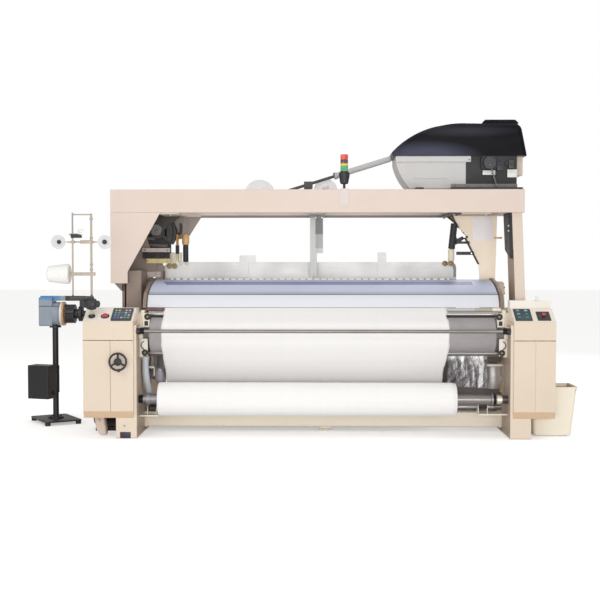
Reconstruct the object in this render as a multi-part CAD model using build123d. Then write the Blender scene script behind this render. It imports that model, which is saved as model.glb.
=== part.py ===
from build123d import *
from math import asin, atan2, cos, degrees, pi, radians, sin
import os

os.makedirs("parts", exist_ok=True)

# Water-jet power loom with an overhead dobby, a weft feeder on its own stand and a waste bin.
# Millimetres. X runs along the cloth, Y from the weaver to the warp beam, Z up.
# The origin is on the floor, at the centre of the four anchor holes of the side frames.

# Driving dimensions: overall frame
frame_inner = 1390.0          # half the distance between the side frames
frame_thick = 155.0
frame_front = -775.0
frame_rear = 800.0
frame_web = 24.0              # plate left on the inner face of the casting
frame_top = 930.0
shoulder_top = 850.0
anchor_y = 600.0
anchor_hole_r = 11.0

# Running and seating clearances
run_gap = 0.05                # radial, shaft in its bore
seat_gap = 0.3                # soft pieces and surfaces that pass each other

# Places of the shafts, as (y, z)
take_up_axis = (-550.0, 760.0)
cloth_axis = (-670.0, 285.0)
guide_axis = (-340.0, 187.0)
sley_axis = (-215.0, 430.0)
beam_axis = (640.0, 520.0)
rest_axis = (560.0, 1075.0)

# Rollers
take_up_r = 135.0
take_up_left = -frame_inner + 80.0
take_up_right = frame_inner - 90.0
press_r = 22.0
press_reach = frame_inner - 55.0   # half length of the two small rollers
press_boss_r = 25.0
guide_r = 27.0
rest_r = 62.0
journal_r = 16.0
big_journal_r = 30.0
journal_depth = 60.0
bracket_t = 26.0              # bearing plates on the frames' inner faces

# Cloth and warp
cloth_left = -frame_inner + 170.0
cloth_right = frame_inner - 440.0
cloth_t = 1.5
roll_r = 127.0
roll_left = cloth_left - 20.0
roll_right = cloth_right + 50.0
core_r = 38.0
warp_margin = 30.0            # warp wider than cloth, each side
warp_t = 1.5
weave_z = 966.0               # top of the cloth and of the warp sheet
fell_y = -300.0
reed_back_y = -205.0

# Consoles
console_front = -800.0
console_base = 156.0
console_chamfer_z = 205.0
console_chamfer_y = 25.0
slope_rise = 93.0
slope_run = 160.0
slope_z = 876.0
console_depth = 290.0
console_wall = 5.0
panel_t = 2.5
panel_seam = 4.0
panel_top = 734.0
console_in = frame_inner + 21.0
left_console_out = console_in + 374.0
right_console_out = console_in + 308.0
console_step_y = -655.0       # right console: room for the bin under its rear half
console_step_z = 420.0
ledge_rise = 58.0             # right console: raised ledge behind its slope
left_seam_x = -console_in - 170.0
right_seam_x = console_in + 159.0

# Overhead gantry
beam_left = -frame_inner - 280.0
beam_right = frame_inner + 186.0
beam_bottom = 1705.0
beam_height = 182.0
beam_depth = 120.0
beam_wall = 6.0
front_beam_y = -300.0
rear_beam_y = 330.0

# Shedding
shaft_count = 4
shaft_pitch = 26.0
shaft_first_y = 147.0         # middle plane of the front heald frame
shaft_t = 12.0
rail_left = -frame_inner + 80.0
rail_right = frame_inner - 290.0
rail_top = 1317.0
rail_h = 137.0
low_rail_z = 640.0
low_rail_h = 90.0
stay_w = 45.0
heald_gaps = 40
heald_w = 14.0
heald_t = 3.0
lever_r = 150.0
lever_z = 1557.0
lever_t = 12.0
left_lever_x = -frame_inner + 29.0
right_lever_x = frame_inner - 170.0
rod_r = 6.0
sleeve_r = 11.0

# Sley and reed
sley_throw_r = 46.0
reed_gaps = 118
reed_bar = 5.0
reed_h = 120.0
reed_t = 6.0
reed_left = cloth_left - 50.0
reed_right = cloth_right + 50.0


def block(x0, x1, y0, y1, z0, z1):
    middle = Pos((x0 + x1) / 2, (y0 + y1) / 2, (z0 + z1) / 2)
    return middle * Box(x1 - x0, y1 - y0, z1 - z0)


def standing(radius, height):
    return Cylinder(radius, height, align=(Align.CENTER, Align.CENTER, Align.MIN))


def bar_x(radius, x0, x1, centre):
    return Pos((x0 + x1) / 2, centre[0], centre[1]) * Rot(0, 90, 0) * Cylinder(radius, x1 - x0)


def bar_y(radius, y0, y1, x, z):
    return Pos(x, (y0 + y1) / 2, z) * Rot(90, 0, 0) * Cylinder(radius, y1 - y0)


def bar_z(radius, z0, z1, x, y):
    return Pos(x, y, (z0 + z1) / 2) * Cylinder(radius, z1 - z0)


def side_slab(points, x0, x1):
    """A side view outline of (y, z) points, given its width along X."""
    wire = Polyline(*[(x0, y, z) for y, z in points], close=True)
    return extrude(make_face(wire), amount=x1 - x0, dir=(1, 0, 0))


def front_slab(points, y0, y1):
    """A front view outline of (x, z) points, given its depth along Y."""
    wire = Polyline(*[(x, y0, z) for x, z in points], close=True)
    return extrude(make_face(wire), amount=y1 - y0, dir=(0, 1, 0))


def plan_slab(points, z0, z1):
    """A plan outline of (x, y) points, given its height along Z."""
    wire = Polyline(*[(x, y, z0) for x, y in points], close=True)
    return extrude(make_face(wire), amount=z1 - z0, dir=(0, 0, 1))


def mirrored(shape):
    return mirror(shape, about=Plane.YZ)


def edges_along(shape, axis):
    return shape.edges().filter_by(axis)


def turned(centre, signed_radius, angle):
    """Point on a circle where a path of that direction touches it."""
    return (centre[0] + signed_radius * sin(angle), centre[1] - signed_radius * cos(angle))


def band(stops, thickness, x0, x1):
    """A sheet that runs over a chain of circles; each stop is (centre, signed radius).

    The radius is that of the middle of the sheet, positive where the path turns
    counterclockwise in the (y, z) view, and 0 at the two ends.
    """
    runs = []
    for (centre_a, radius_a), (centre_b, radius_b) in zip(stops, stops[1:]):
        reach_y = centre_b[0] - centre_a[0]
        reach_z = centre_b[1] - centre_a[1]
        reach = (reach_y ** 2 + reach_z ** 2) ** 0.5
        runs.append(atan2(reach_z, reach_y) + asin((radius_a - radius_b) / reach))
    sides = []
    for offset_by in (thickness / 2, -thickness / 2):
        edges = []
        for index, angle in enumerate(runs):
            centre_a, radius_a = stops[index]
            centre_b, radius_b = stops[index + 1]
            start = turned(centre_a, radius_a + offset_by, angle)
            end = turned(centre_b, radius_b + offset_by, angle)
            edges.append(Line((x0, *start), (x0, *end)))
            if index + 1 < len(runs):
                next_angle = runs[index + 1]
                turn = (next_angle - angle) % (2 * pi)
                if radius_b < 0:
                    turn -= 2 * pi
                middle = turned(centre_b, radius_b + offset_by, angle + turn / 2)
                after = turned(centre_b, radius_b + offset_by, next_angle)
                edges.append(ThreePointArc((x0, *end), (x0, *middle), (x0, *after)))
        sides.append(edges)
    first = Line(sides[0][0] @ 0, sides[1][0] @ 0)
    last = Line(sides[0][-1] @ 1, sides[1][-1] @ 1)
    outline = make_face(Wire(sides[0] + [last] + sides[1] + [first]))
    return extrude(outline, amount=x1 - x0, dir=(1, 0, 0))


# Heights and places that follow from the driving dimensions
frame_outer = frame_inner + frame_thick
bracket_in = frame_inner - bracket_t
anchor_x = frame_inner + frame_thick / 2
upper_guide_axis = (take_up_axis[0] + 40.0, take_up_axis[1] + 160.0)
press_touch = take_up_r + press_r + seat_gap
press_lean = radians(-63.5)
press_axis = (
    take_up_axis[0] + press_touch * cos(press_lean),
    take_up_axis[1] + press_touch * sin(press_lean),
)
beam_top = beam_bottom + beam_height
slope_angle = degrees(atan2(slope_rise, slope_run))
ledge_z = slope_z + slope_rise
shaft_ys = [shaft_first_y + n * shaft_pitch for n in range(shaft_count)]


# Side frames and cross beams
frame_outline = [
    (frame_front, 0), (frame_rear, 0),
    (frame_rear, 640), (700, 1010), (640, 1150), (480, 1150), (400, frame_top),
    (-560, frame_top), (-600, shoulder_top), (frame_front, shoulder_top),
]
frame_windows = [
    [(-480, 300), (-280, 300), (-280, 520), (-400, 560), (-520, 500)],
    [(-60, 200), (330, 200), (330, 420), (180, 760), (-60, 760)],
]
casting_pockets = [
    [(-740, 60), (-320, 60), (-320, 120), (-580, 120), (-740, 180)],
    [(-120, 800), (330, 800), (330, 890), (-120, 890)],
    [(-480, 700), (-160, 560), (-110, 740), (-200, 890), (-480, 890)],
    [(420, 100), (760, 100), (760, 330), (560, 330), (420, 240)],
    [(470, 760), (740, 760), (660, 960), (520, 960), (450, 880)],
]
axle_holes = [
    (take_up_axis, big_journal_r), (cloth_axis, big_journal_r), (guide_axis, journal_r),
    (sley_axis, big_journal_r), (beam_axis, big_journal_r), (rest_axis, big_journal_r),
]


def frame_blank(x0, x1):
    return fillet(edges_along(side_slab(frame_outline, x0, x1), Axis.X), 12)


def side_frame():
    """Cast box-section side frame, right hand, open on its outer face."""
    frame = frame_blank(frame_inner, frame_outer)
    for window in frame_windows:
        opening = side_slab(window, frame_inner - 1, frame_outer + 1)
        frame -= fillet(edges_along(opening, Axis.X), 25)
    for pocket in casting_pockets:
        hollow = side_slab(pocket, frame_inner + frame_web, frame_outer + 1)
        frame -= fillet(edges_along(hollow, Axis.X), 18)
    for axis, radius in axle_holes:
        frame -= bar_x(radius + run_gap, frame_inner - 1, frame_inner + journal_depth, axis)
    for y in (-anchor_y, anchor_y):
        frame -= bar_z(anchor_hole_r, -1, 130, anchor_x, y)
    return frame


front_beam_box = (-390.0, -300.0, 35.0, 150.0)
rear_beam_box = (170.0, 270.0, 55.0, 170.0)
end_flange_t = 22.0


def cross_beam(y0, y1, z0, z1, wall):
    """Box beam between the side frames with a bolted flange at each end."""
    inner = frame_inner - end_flange_t
    beam = block(-inner, inner, y0, y1, z0, z1)
    beam = fillet(edges_along(beam, Axis.X), 8)
    beam -= block(-inner, inner, y0 + wall, y1 - wall, z0 + wall, z1 - wall)
    for side in (-1, 1):
        flange_x0 = min(side * inner, side * frame_inner)
        flange = block(flange_x0, flange_x0 + end_flange_t, y0 - 6, y1 + 6, z0 - 6, z1 + 6)
        beam += fillet(edges_along(flange, Axis.X), 14)
    return beam


centre_foot_x = 22.0
centre_foot_w = 96.0


def front_lower_beam():
    y0, y1, z0, z1 = front_beam_box
    beam = cross_beam(y0, y1, z0, z1, 8)
    pad_y = (y0 + y1) / 2
    plate = block(centre_foot_x - centre_foot_w / 2, centre_foot_x + centre_foot_w / 2, y0, y1, z0 - 12, z0)
    beam += fillet(edges_along(plate, Axis.Z), 8)
    for side in (-1, 1):
        stud_x = centre_foot_x + side * centre_foot_w * 0.34
        beam += bar_z(8, z0 - 27, z0 - 12, stud_x, pad_y)
        beam += bar_z(16, 0, 8, stud_x, pad_y)
        beam += Pos(stud_x, pad_y, 8) * Cone(16, 8, 12, align=(Align.CENTER, Align.CENTER, Align.MIN))
    return beam


breast_nose_r = 17.0
breast_back_y = -436.0
breast_front_y = -488.0


def breast_beam():
    """Bar that carries the cloth in front of the fell, with a round nose and a drip groove."""
    top = weave_z - cloth_t - seat_gap
    nose = (breast_front_y + breast_nose_r, top - breast_nose_r)
    bar = block(-bracket_in, bracket_in, nose[0], breast_back_y, top - 2 * breast_nose_r, top)
    bar += bar_x(breast_nose_r, -bracket_in, bracket_in, nose)
    groove_z = top - breast_nose_r
    groove_x = bracket_in - 20
    bar -= block(-groove_x, groove_x, breast_back_y - 8, breast_back_y + 1, groove_z - 5, groove_z + 5)
    return bar


# Consoles
def console_side_view(depth, wall, step_z, step_y, ledge_h):
    """Outline of a console seen from the side, drawn inwards by a wall."""
    rear = console_front + depth - wall
    front = console_front + wall
    slope_shift = wall * (1 / cos(radians(slope_angle)) - (slope_rise / slope_run))
    crest = (console_front + slope_run, ledge_z - wall)
    if ledge_h:
        crest_line = [
            (crest[0], crest[1]), (crest[0] + 38 + wall, crest[1]),
            (crest[0] + 48 + wall, crest[1] + ledge_h), (rear, crest[1] + ledge_h),
        ]
    else:
        crest_line = [crest, (rear, crest[1])]
    points = [
        (front + console_chamfer_y, console_base + wall), (front, console_chamfer_z + wall / 2),
        (front, slope_z - slope_shift),
    ]
    points += crest_line
    if step_z:
        points += [(rear, step_z + wall), (step_y - wall, step_z + wall)]
        points += [(step_y - wall, console_base + wall)]
    else:
        points += [(rear, console_base + wall)]
    return points


def panel_recess(x0, x1):
    top = panel_top + panel_seam
    return block(x0, x1, console_front - 1, console_front + panel_t, console_chamfer_z, top)


def console_shell(x_out, side, step_z, step_y, ledge_h):
    """Console casing open to the side frame that passes through it; side is -1 left, 1 right."""
    low, high = sorted((side * x_out, side * console_in))
    outer = side_slab(console_side_view(console_depth, 0.0, step_z, step_y, ledge_h), low, high)
    outer = fillet(outer.edges().filter_by(Axis.X).group_by(Axis.Y)[0], 6)
    inside = side_slab(
        console_side_view(console_depth, console_wall, step_z, step_y, ledge_h),
        low + console_wall, high - console_wall,
    )
    shell = outer - inside
    shell -= panel_recess(low - 1, high + 1)
    frame_room = frame_blank(frame_inner - 30, frame_outer)
    shell -= frame_room if side > 0 else mirrored(frame_room)
    return shell


handwheel_x = -console_in - 107.5
handwheel_z = 580.0
handwheel_r = 70.0
handwheel_rim_r = 7.5
handwheel_shaft_r = 10.0
handwheel_stand = 34.0


def console_panels():
    """The four lower front sheets of the consoles, with the hole for the handwheel's shaft."""
    z0 = console_chamfer_z + 2
    spans = [
        (-left_console_out, left_seam_x - panel_seam / 2), (left_seam_x + panel_seam / 2, -console_in),
        (console_in, right_seam_x - panel_seam / 2), (right_seam_x + panel_seam / 2, right_console_out),
    ]
    sheets = []
    for x0, x1 in spans:
        sheet = block(x0, x1, console_front, console_front + panel_t, z0, panel_top)
        sheets.append(fillet(edges_along(sheet, Axis.Y), 3))
    hole = bar_y(handwheel_shaft_r + 4, console_front - 1, console_front + 9, handwheel_x, handwheel_z)
    sheets[1] -= hole
    return Compound(children=sheets)


def handwheel():
    """Spoked handwheel with a fixed knob, keyed to a short shaft in the side frame."""
    rim_y = console_front - handwheel_stand
    rim = Torus(handwheel_r - handwheel_rim_r, handwheel_rim_r)
    rim = Pos(handwheel_x, rim_y, handwheel_z) * Rot(90, 0, 0) * rim
    wheel = rim + bar_y(17, rim_y - 6, rim_y + 12, handwheel_x, handwheel_z)
    for turn in (90, 210, 330):
        along = Vector(cos(radians(turn)), 0, sin(radians(turn)))
        middle = (handwheel_r - handwheel_rim_r) / 2
        spot = (handwheel_x + along.X * middle, rim_y + 2, handwheel_z + along.Z * middle)
        place = Location(spot, (0, -turn, 0))
        wheel += place * Box(handwheel_r - handwheel_rim_r, 7, 15)
    knob_z = handwheel_z - handwheel_r + handwheel_rim_r
    wheel += bar_y(8, rim_y - 34, rim_y, handwheel_x + 9, knob_z)
    wheel += bar_y(handwheel_shaft_r, rim_y, frame_front + 40, handwheel_x, handwheel_z)
    return wheel


def on_slope(x, up):
    """Plane on a console's sloped top; up is the share of the slope from its front edge."""
    run = up * slope_run
    return Plane(
        origin=(x, console_front + run, slope_z + run * slope_rise / slope_run),
        x_dir=(1, 0, 0), z_dir=(0, -sin(radians(slope_angle)), cos(radians(slope_angle))),
    )


def slope_plate(x0, x1, up0, up1, t, corner):
    length = (up1 - up0) * (slope_run ** 2 + slope_rise ** 2) ** 0.5
    plate = Box(x1 - x0, length, t, align=(Align.CENTER, Align.CENTER, Align.MIN))
    plate = fillet(edges_along(plate, Axis.Z), corner)
    return on_slope((x0 + x1) / 2, (up0 + up1) / 2).location * plate


screen_span = (-console_in - 168.0, -console_in - 16.0)
keypad_span = (console_in + 13.0, console_in + 139.0)
stop_plate_span = (console_in + 177.0, console_in + 275.0)
screen_t = 8.0
screen_recess = 1.5
keypad_t = 4.0
button_r = 15.0
button_travel = 5.0
e_stop_x = -console_in - 218.0
stop_x = console_in + 229.0
button_bore_r = 9.0
button_bore_depth = 18.0
e_stop_up = 0.40
stop_up = 0.45


def touch_screen():
    screen = slope_plate(*screen_span, 0.06, 0.94, screen_t, 6)
    window = slope_plate(screen_span[0] + 12, screen_span[1] - 12, 0.15, 0.86, screen_t, 2)
    lift = screen_t - screen_recess
    return screen - Pos(0, -sin(radians(slope_angle)) * lift, cos(radians(slope_angle)) * lift) * window


def keypad():
    """Membrane plate with six domed keys and the black plate round the stop button."""
    pad = slope_plate(*keypad_span, 0.08, 0.94, keypad_t, 5)
    pad_middle = sum(keypad_span) / 2
    for row in (0.30, 0.55, 0.80):
        for side in (-1, 1):
            key = standing(11, 3)
            key = fillet(key.edges().group_by(Axis.Z)[-1], 1.5)
            spot = on_slope(pad_middle + side * 30, row)
            pad += spot.location * Pos(0, 0, keypad_t) * key
    plate = slope_plate(*stop_plate_span, 0.10, 0.74, keypad_t, 5)
    plate -= on_slope(stop_x, stop_up).location * Cylinder(button_bore_r + 3, 4 * keypad_t)
    return Compound(children=[pad, plate])


def push_button(x, up, cap_r, stand):
    """Mushroom cap on a stem that slides in the console's slope."""
    cap_h = 10.0
    cap = Pos(0, 0, stand) * standing(cap_r, cap_h)
    cap = fillet(cap.edges().group_by(Axis.Z)[-1], 4)
    stem_foot = button_bore_depth - button_travel - 1
    stem = Pos(0, 0, -stem_foot) * standing(button_bore_r, stem_foot + stand)
    return on_slope(x, up).location * (cap + stem)


cap_clear = button_travel + 1.0


# Rollers, cloth and take-up
def journal_ends(axis, radius, left, right):
    depth = frame_inner + journal_depth - 1
    return bar_x(radius, -depth, left, axis) + bar_x(radius, right, depth, axis)


def take_up_roller():
    """Rubber covered roller that pulls the cloth, with stepped ends."""
    roller = bar_x(take_up_r, take_up_left, take_up_right, take_up_axis)
    roller = chamfer(roller.edges().filter_by(GeomType.CIRCLE), 4)
    for x0, x1 in ((take_up_left - 12, take_up_left), (take_up_right, take_up_right + 12)):
        roller += bar_x(take_up_r * 0.6, x0, x1, take_up_axis)
    return roller + journal_ends(take_up_axis, big_journal_r, take_up_left, take_up_right)


small_journal_r = 10.0


def small_roller(axis):
    roller = bar_x(press_r, -press_reach, press_reach, axis)
    for side in (-1, 1):
        x0, x1 = sorted((side * (press_reach - 14), side * press_reach))
        roller += bar_x(press_boss_r, x0, x1, axis)
        x0, x1 = sorted((side * press_reach, side * (frame_inner - 1)))
        roller += bar_x(small_journal_r, x0, x1, axis)
    return roller


def roller_bracket(side):
    """Cream bearing plate on the side frame that carries the three roller ends."""
    low, high = sorted((side * bracket_in, side * frame_inner))
    upper_y, upper_z = upper_guide_axis
    lower_y, lower_z = press_axis
    rear_y = tray_y[1]
    foot_z = lower_z - press_r
    outline = [
        (-640, foot_z), (rear_y, foot_z), (rear_y, 890),
        (upper_y + 45, upper_z + 30), (upper_y - 35, upper_z + 30), (-600, 860), (-640, 800),
    ]
    plate = side_slab(outline, low, high)
    plate = fillet(edges_along(plate, Axis.X), 14)
    plate -= bar_x(big_journal_r + run_gap, low - 1, high + 1, take_up_axis)
    for axis in (upper_guide_axis, press_axis):
        plate -= bar_x(small_journal_r + run_gap, low - 1, high + 1, axis)
    slot_y = lower_y - 70
    for slot_z in (lower_z - 10, lower_z + 10):
        plate -= bar_x(7, low - 1, high + 1, (slot_y, slot_z))
    plate -= block(low - 1, high + 1, slot_y - 7, slot_y + 7, lower_z - 10, lower_z + 10)
    rod_y, rod_z = rod_axis
    rod_arm = side_slab([(-640, 770), (-640, 830), (rod_y, rod_z + 24), (rod_y, rod_z - 24)], low, high)
    plate += rod_arm + bar_x(24, low, high, rod_axis)
    plate -= bar_x(rod_r_front, low - 1, high + 1, rod_axis)
    return plate


rod_axis = (-762.0, 803.0)
rod_r_front = 13.0
clamp_r = 20.0


def front_rod():
    """Bright rod across the front, held in a black clamp at each end."""
    rod = bar_x(rod_r_front, -frame_inner, frame_inner, rod_axis)
    for side in (-1, 1):
        x0, x1 = sorted((side * (bracket_in - 30), side * bracket_in))
        clamp = bar_x(clamp_r, x0, x1, rod_axis)
        clamp_top = rod_axis[1] + clamp_r + 8
        clamp += block(x0 + 4, x1 - 4, rod_axis[0] - 9, rod_axis[0] + 9, rod_axis[1], clamp_top)
        rod += clamp
    return rod


def guide_roller():
    roller = bar_x(guide_r, -press_reach, press_reach, guide_axis)
    for side in (-1, 1):
        x0, x1 = sorted((side * (press_reach - 10), side * press_reach))
        roller += bar_x(guide_r + 5, x0, x1, guide_axis)
    return roller + journal_ends(guide_axis, journal_r, -press_reach, press_reach)


def cloth_core():
    """Tube under the cloth, with a dark collar and a square-jaw coupling at each end."""
    reach = frame_inner - 60
    collar_x = frame_inner - 128
    core = bar_x(core_r, -reach + 30, collar_x, cloth_axis)
    core += bar_x(core_r + 14, collar_x, collar_x + 23, cloth_axis)
    core += bar_x(core_r - 2, collar_x + 23, reach, cloth_axis)
    core += bar_x(core_r + 8, -reach, -reach + 30, cloth_axis)
    core += journal_ends(cloth_axis, big_journal_r, -reach, reach)
    core -= bar_x(core_r - 8, roll_left + 20, roll_right - 20, cloth_axis)
    return core


def cloth_wound():
    """Wound cloth, with a soft step near its edge where a turn ran wide."""
    roll = bar_x(roll_r, roll_left, roll_right, cloth_axis)
    roll = fillet(roll.edges().filter_by(GeomType.CIRCLE), 5)
    return roll - bar_x(core_r, roll_left - 1, roll_right + 1, cloth_axis)


cloth_gap = cloth_t / 2 + seat_gap


def cloth_sheet():
    """Cloth from the fell over the breast beam and the take-up roller to the cloth roll."""
    weave_middle = weave_z - cloth_t / 2
    nose = (breast_front_y + breast_nose_r, weave_z - cloth_t - seat_gap - breast_nose_r)
    roll_under = cloth_axis[1] - roll_r - cloth_gap
    stops = [
        ((fell_y, weave_middle), 0.0),
        (nose, breast_nose_r + cloth_gap),
        (upper_guide_axis, press_r + cloth_gap),
        (take_up_axis, take_up_r + cloth_gap),
        (guide_axis, -(guide_r + cloth_gap)),
        ((cloth_axis[0], roll_under), 0.0),
    ]
    return band(stops, cloth_t, cloth_left, cloth_right)


# Warp
beam_tube_r = 90.0
flange_r = 380.0
flange_t = 22.0
wound_r = 290.0
warp_left = cloth_left - warp_margin
warp_right = cloth_right + warp_margin


def warp_beam():
    """Warp beam: tube, two dished flanges with lightening holes, journals."""
    beam = bar_x(beam_tube_r, warp_left - flange_t, warp_right + flange_t, beam_axis)
    for x0, inward in ((warp_left - flange_t, 1), (warp_right, -1)):
        disc = bar_x(flange_r, x0, x0 + flange_t, beam_axis)
        disc = fillet(disc.edges().filter_by(GeomType.CIRCLE), 6)
        dish_x0, dish_x1 = (x0 - 1, x0 + 8) if inward > 0 else (x0 + 14, x0 + flange_t + 1)
        disc -= bar_x(flange_r - 28, dish_x0, dish_x1, beam_axis)
        disc += bar_x(beam_tube_r + 40, x0, x0 + flange_t, beam_axis)
        for turn in range(8):
            angle = radians(turn * 45)
            hub = (beam_axis[0] + 235 * cos(angle), beam_axis[1] + 235 * sin(angle))
            hole_r = 24 if turn % 2 else 9
            disc -= bar_x(hole_r, x0 - 1, x0 + flange_t + 1, hub)
        beam += disc
    gear_x0 = warp_right + flange_t
    gear = gear_blank(gear_x0, gear_x0 + 30)
    beam += gear
    return beam + journal_ends(beam_axis, big_journal_r, warp_left - flange_t, gear_x0 + 30)


gear_teeth = 48
gear_r = 200.0
tooth_h = 14.0


def gear_blank(x0, x1):
    """Let-off ring gear bolted outside the flange."""
    points = []
    for tooth in range(gear_teeth):
        root_r = gear_r - tooth_h
        for share, radius in ((0.0, root_r), (0.3, root_r), (0.45, gear_r), (0.85, gear_r)):
            angle = 2 * pi * (tooth + share) / gear_teeth
            points.append((beam_axis[0] + radius * cos(angle), beam_axis[1] + radius * sin(angle)))
    return side_slab(points, x0, x1)


def warp_wound():
    yarn = bar_x(wound_r, warp_left, warp_right, beam_axis)
    return yarn - bar_x(beam_tube_r, warp_left - 1, warp_right + 1, beam_axis)


def back_rest_roller():
    roller = bar_x(rest_r, warp_left - 40, warp_right + 40, rest_axis)
    roller = chamfer(roller.edges().filter_by(GeomType.CIRCLE), 3)
    return roller + journal_ends(rest_axis, big_journal_r, warp_left - 40, warp_right + 40)


def warp_sheet():
    """Warp from the beam over the back rest to the healds, and from the healds to the fell."""
    middle = weave_z - warp_t / 2
    behind_y = shaft_ys[-1] + shaft_t / 2 + 1
    rear_stops = [
        (beam_axis, wound_r + cloth_gap), (rest_axis, rest_r + cloth_gap), ((behind_y, middle), 0.0),
    ]
    rear = band(rear_stops, warp_t, warp_left, warp_right)
    ahead_y = shaft_ys[0] - shaft_t / 2 - 1
    front = block(cloth_left, cloth_right, fell_y, ahead_y, weave_z - warp_t, weave_z)
    pitch = (reed_right - reed_left) / (reed_gaps + 1)
    slot = block(-reed_bar, reed_bar, fell_y + 2, reed_back_y + reed_t + 8, weave_z - warp_t - 1, weave_z + 1)
    bars = [reed_left + pitch * (n + 0.5) for n in range(reed_gaps + 1)]
    slots = [Pos(x, 0, 0) * slot for x in bars if cloth_left - reed_bar < x < cloth_right + reed_bar]
    return Compound(children=[rear, front - slots])


# Sley and reed
sword_x = (-frame_inner + 60.0, -700.0, 0.0, 700.0, frame_inner - 60.0)
sley_top = weave_z - 46.0


def sley():
    """Rocking shaft, swords and the sley bar with the reed's groove."""
    shaft_y, shaft_z = sley_axis
    body = bar_x(sley_throw_r - 12, -frame_inner + 4, frame_inner - 4, sley_axis)
    body += bar_x(big_journal_r, -frame_inner - journal_depth + 1, frame_inner + journal_depth - 1, sley_axis)
    for x in sword_x:
        sword = side_slab(
            [
                (shaft_y - 34, shaft_z), (shaft_y + 34, shaft_z),
                (shaft_y + 20, sley_top - 50), (shaft_y - 20, sley_top - 50),
            ],
            x - 14, x + 14,
        )
        body += sword + bar_x(sley_throw_r, x - 24, x + 24, sley_axis)
    rail = side_slab(
        [
            (shaft_y - 30, sley_top - 60), (shaft_y + 34, sley_top - 60), (shaft_y + 34, sley_top - 14),
            (shaft_y + 22, sley_top), (shaft_y - 18, sley_top), (shaft_y - 30, sley_top - 20),
        ],
        -bracket_in + 14, bracket_in - 14,
    )
    reed_y0 = reed_back_y - reed_t
    groove = block(reed_left, reed_right, reed_y0, reed_back_y, sley_top - reed_seat, sley_top + 1)
    return body + rail - groove


reed_seat = 20.0
reed_frame_h = 14.0


def reed():
    """Reed with its dents as bars between a bottom and a top band."""
    y0 = reed_back_y - reed_t
    z0 = sley_top - reed_seat
    z1 = z0 + reed_h
    plate = block(reed_left, reed_right, y0, reed_back_y, z0, z1)
    pitch = (reed_right - reed_left) / (reed_gaps + 1)
    gap_w = pitch - reed_bar
    gap = block(-gap_w / 2, gap_w / 2, y0 - 1, reed_back_y + 1, z0 + reed_seat + 6, z1 - reed_frame_h)
    gaps = [Pos(reed_left + pitch * (n + 1), 0, 0) * gap for n in range(reed_gaps)]
    return plate - gaps


# Heald frames
def heald_frame(index):
    """Rails, end stays and a row of healds whose eyes lie at the warp, with two lifting rods."""
    y = shaft_ys[index]
    y0, y1 = y - shaft_t / 2, y + shaft_t / 2
    top_rail = front_slab(
        [
            (rail_left, rail_top - rail_h), (rail_right, rail_top - rail_h),
            (rail_right, rail_top - 34), (rail_right - 34, rail_top),
            (rail_left + 34, rail_top), (rail_left, rail_top - 34),
        ],
        y0, y1,
    )
    low_rail = block(rail_left, rail_right, y0, y1, low_rail_z, low_rail_z + low_rail_h)
    frame = top_rail + low_rail
    for x in (rail_left, rail_right - stay_w):
        frame += block(x, x + stay_w, y0, y1, low_rail_z, rail_top - rail_h)
    left = rail_left + stay_w + 6
    right = rail_right - stay_w - 6
    pitch = (right - left) / heald_gaps
    heald_z0 = low_rail_z + low_rail_h - 1
    heald_z1 = rail_top - rail_h + 1
    heald = block(-heald_w / 2, heald_w / 2, y - heald_t / 2, y + heald_t / 2, heald_z0, heald_z1)
    frame += [Pos(left + pitch * (n + 0.5), 0, 0) * heald for n in range(heald_gaps)]
    for rod_x in rod_places():
        frame += bar_z(rod_r, rail_top - 30, lever_z - 4, rod_x, y)
        frame += bar_z(sleeve_r, rail_top + 20, lever_z - sleeve_drop, rod_x, y)
        eye = bar_y(sleeve_r + 3, y0, y1, rod_x, rail_top + 6)
        frame += eye
    if index == 0:
        for x0, x1, head_x, top in rail_tabs:
            tab = block(x0, x1, y0 - tab_t, y0, rail_top - rail_h + 8, top)
            frame += tab + block(x0, head_x, y0 - tab_t, y0, top - 62, top)
    return frame


lever_reach = lever_r + rod_r + seat_gap
sleeve_drop = 100.0
tab_t = 5.0
rail_tabs = ((-685.0, -614.0, -552.0, 1372.0), (453.0, 523.0, 523.0, 1397.0))


def rod_places():
    return (left_lever_x + lever_reach, right_lever_x - lever_reach)


# Jack levers that lift the heald frames
pivot_pin_r = 14.0
hub_r = 28.0
lever_plate_t = 10.0
lever_spread = 38.0
lever_bracket_y = (shaft_ys[0] - 26.0, shaft_ys[-1] + 26.0)
strap_t = 12.0


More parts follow.
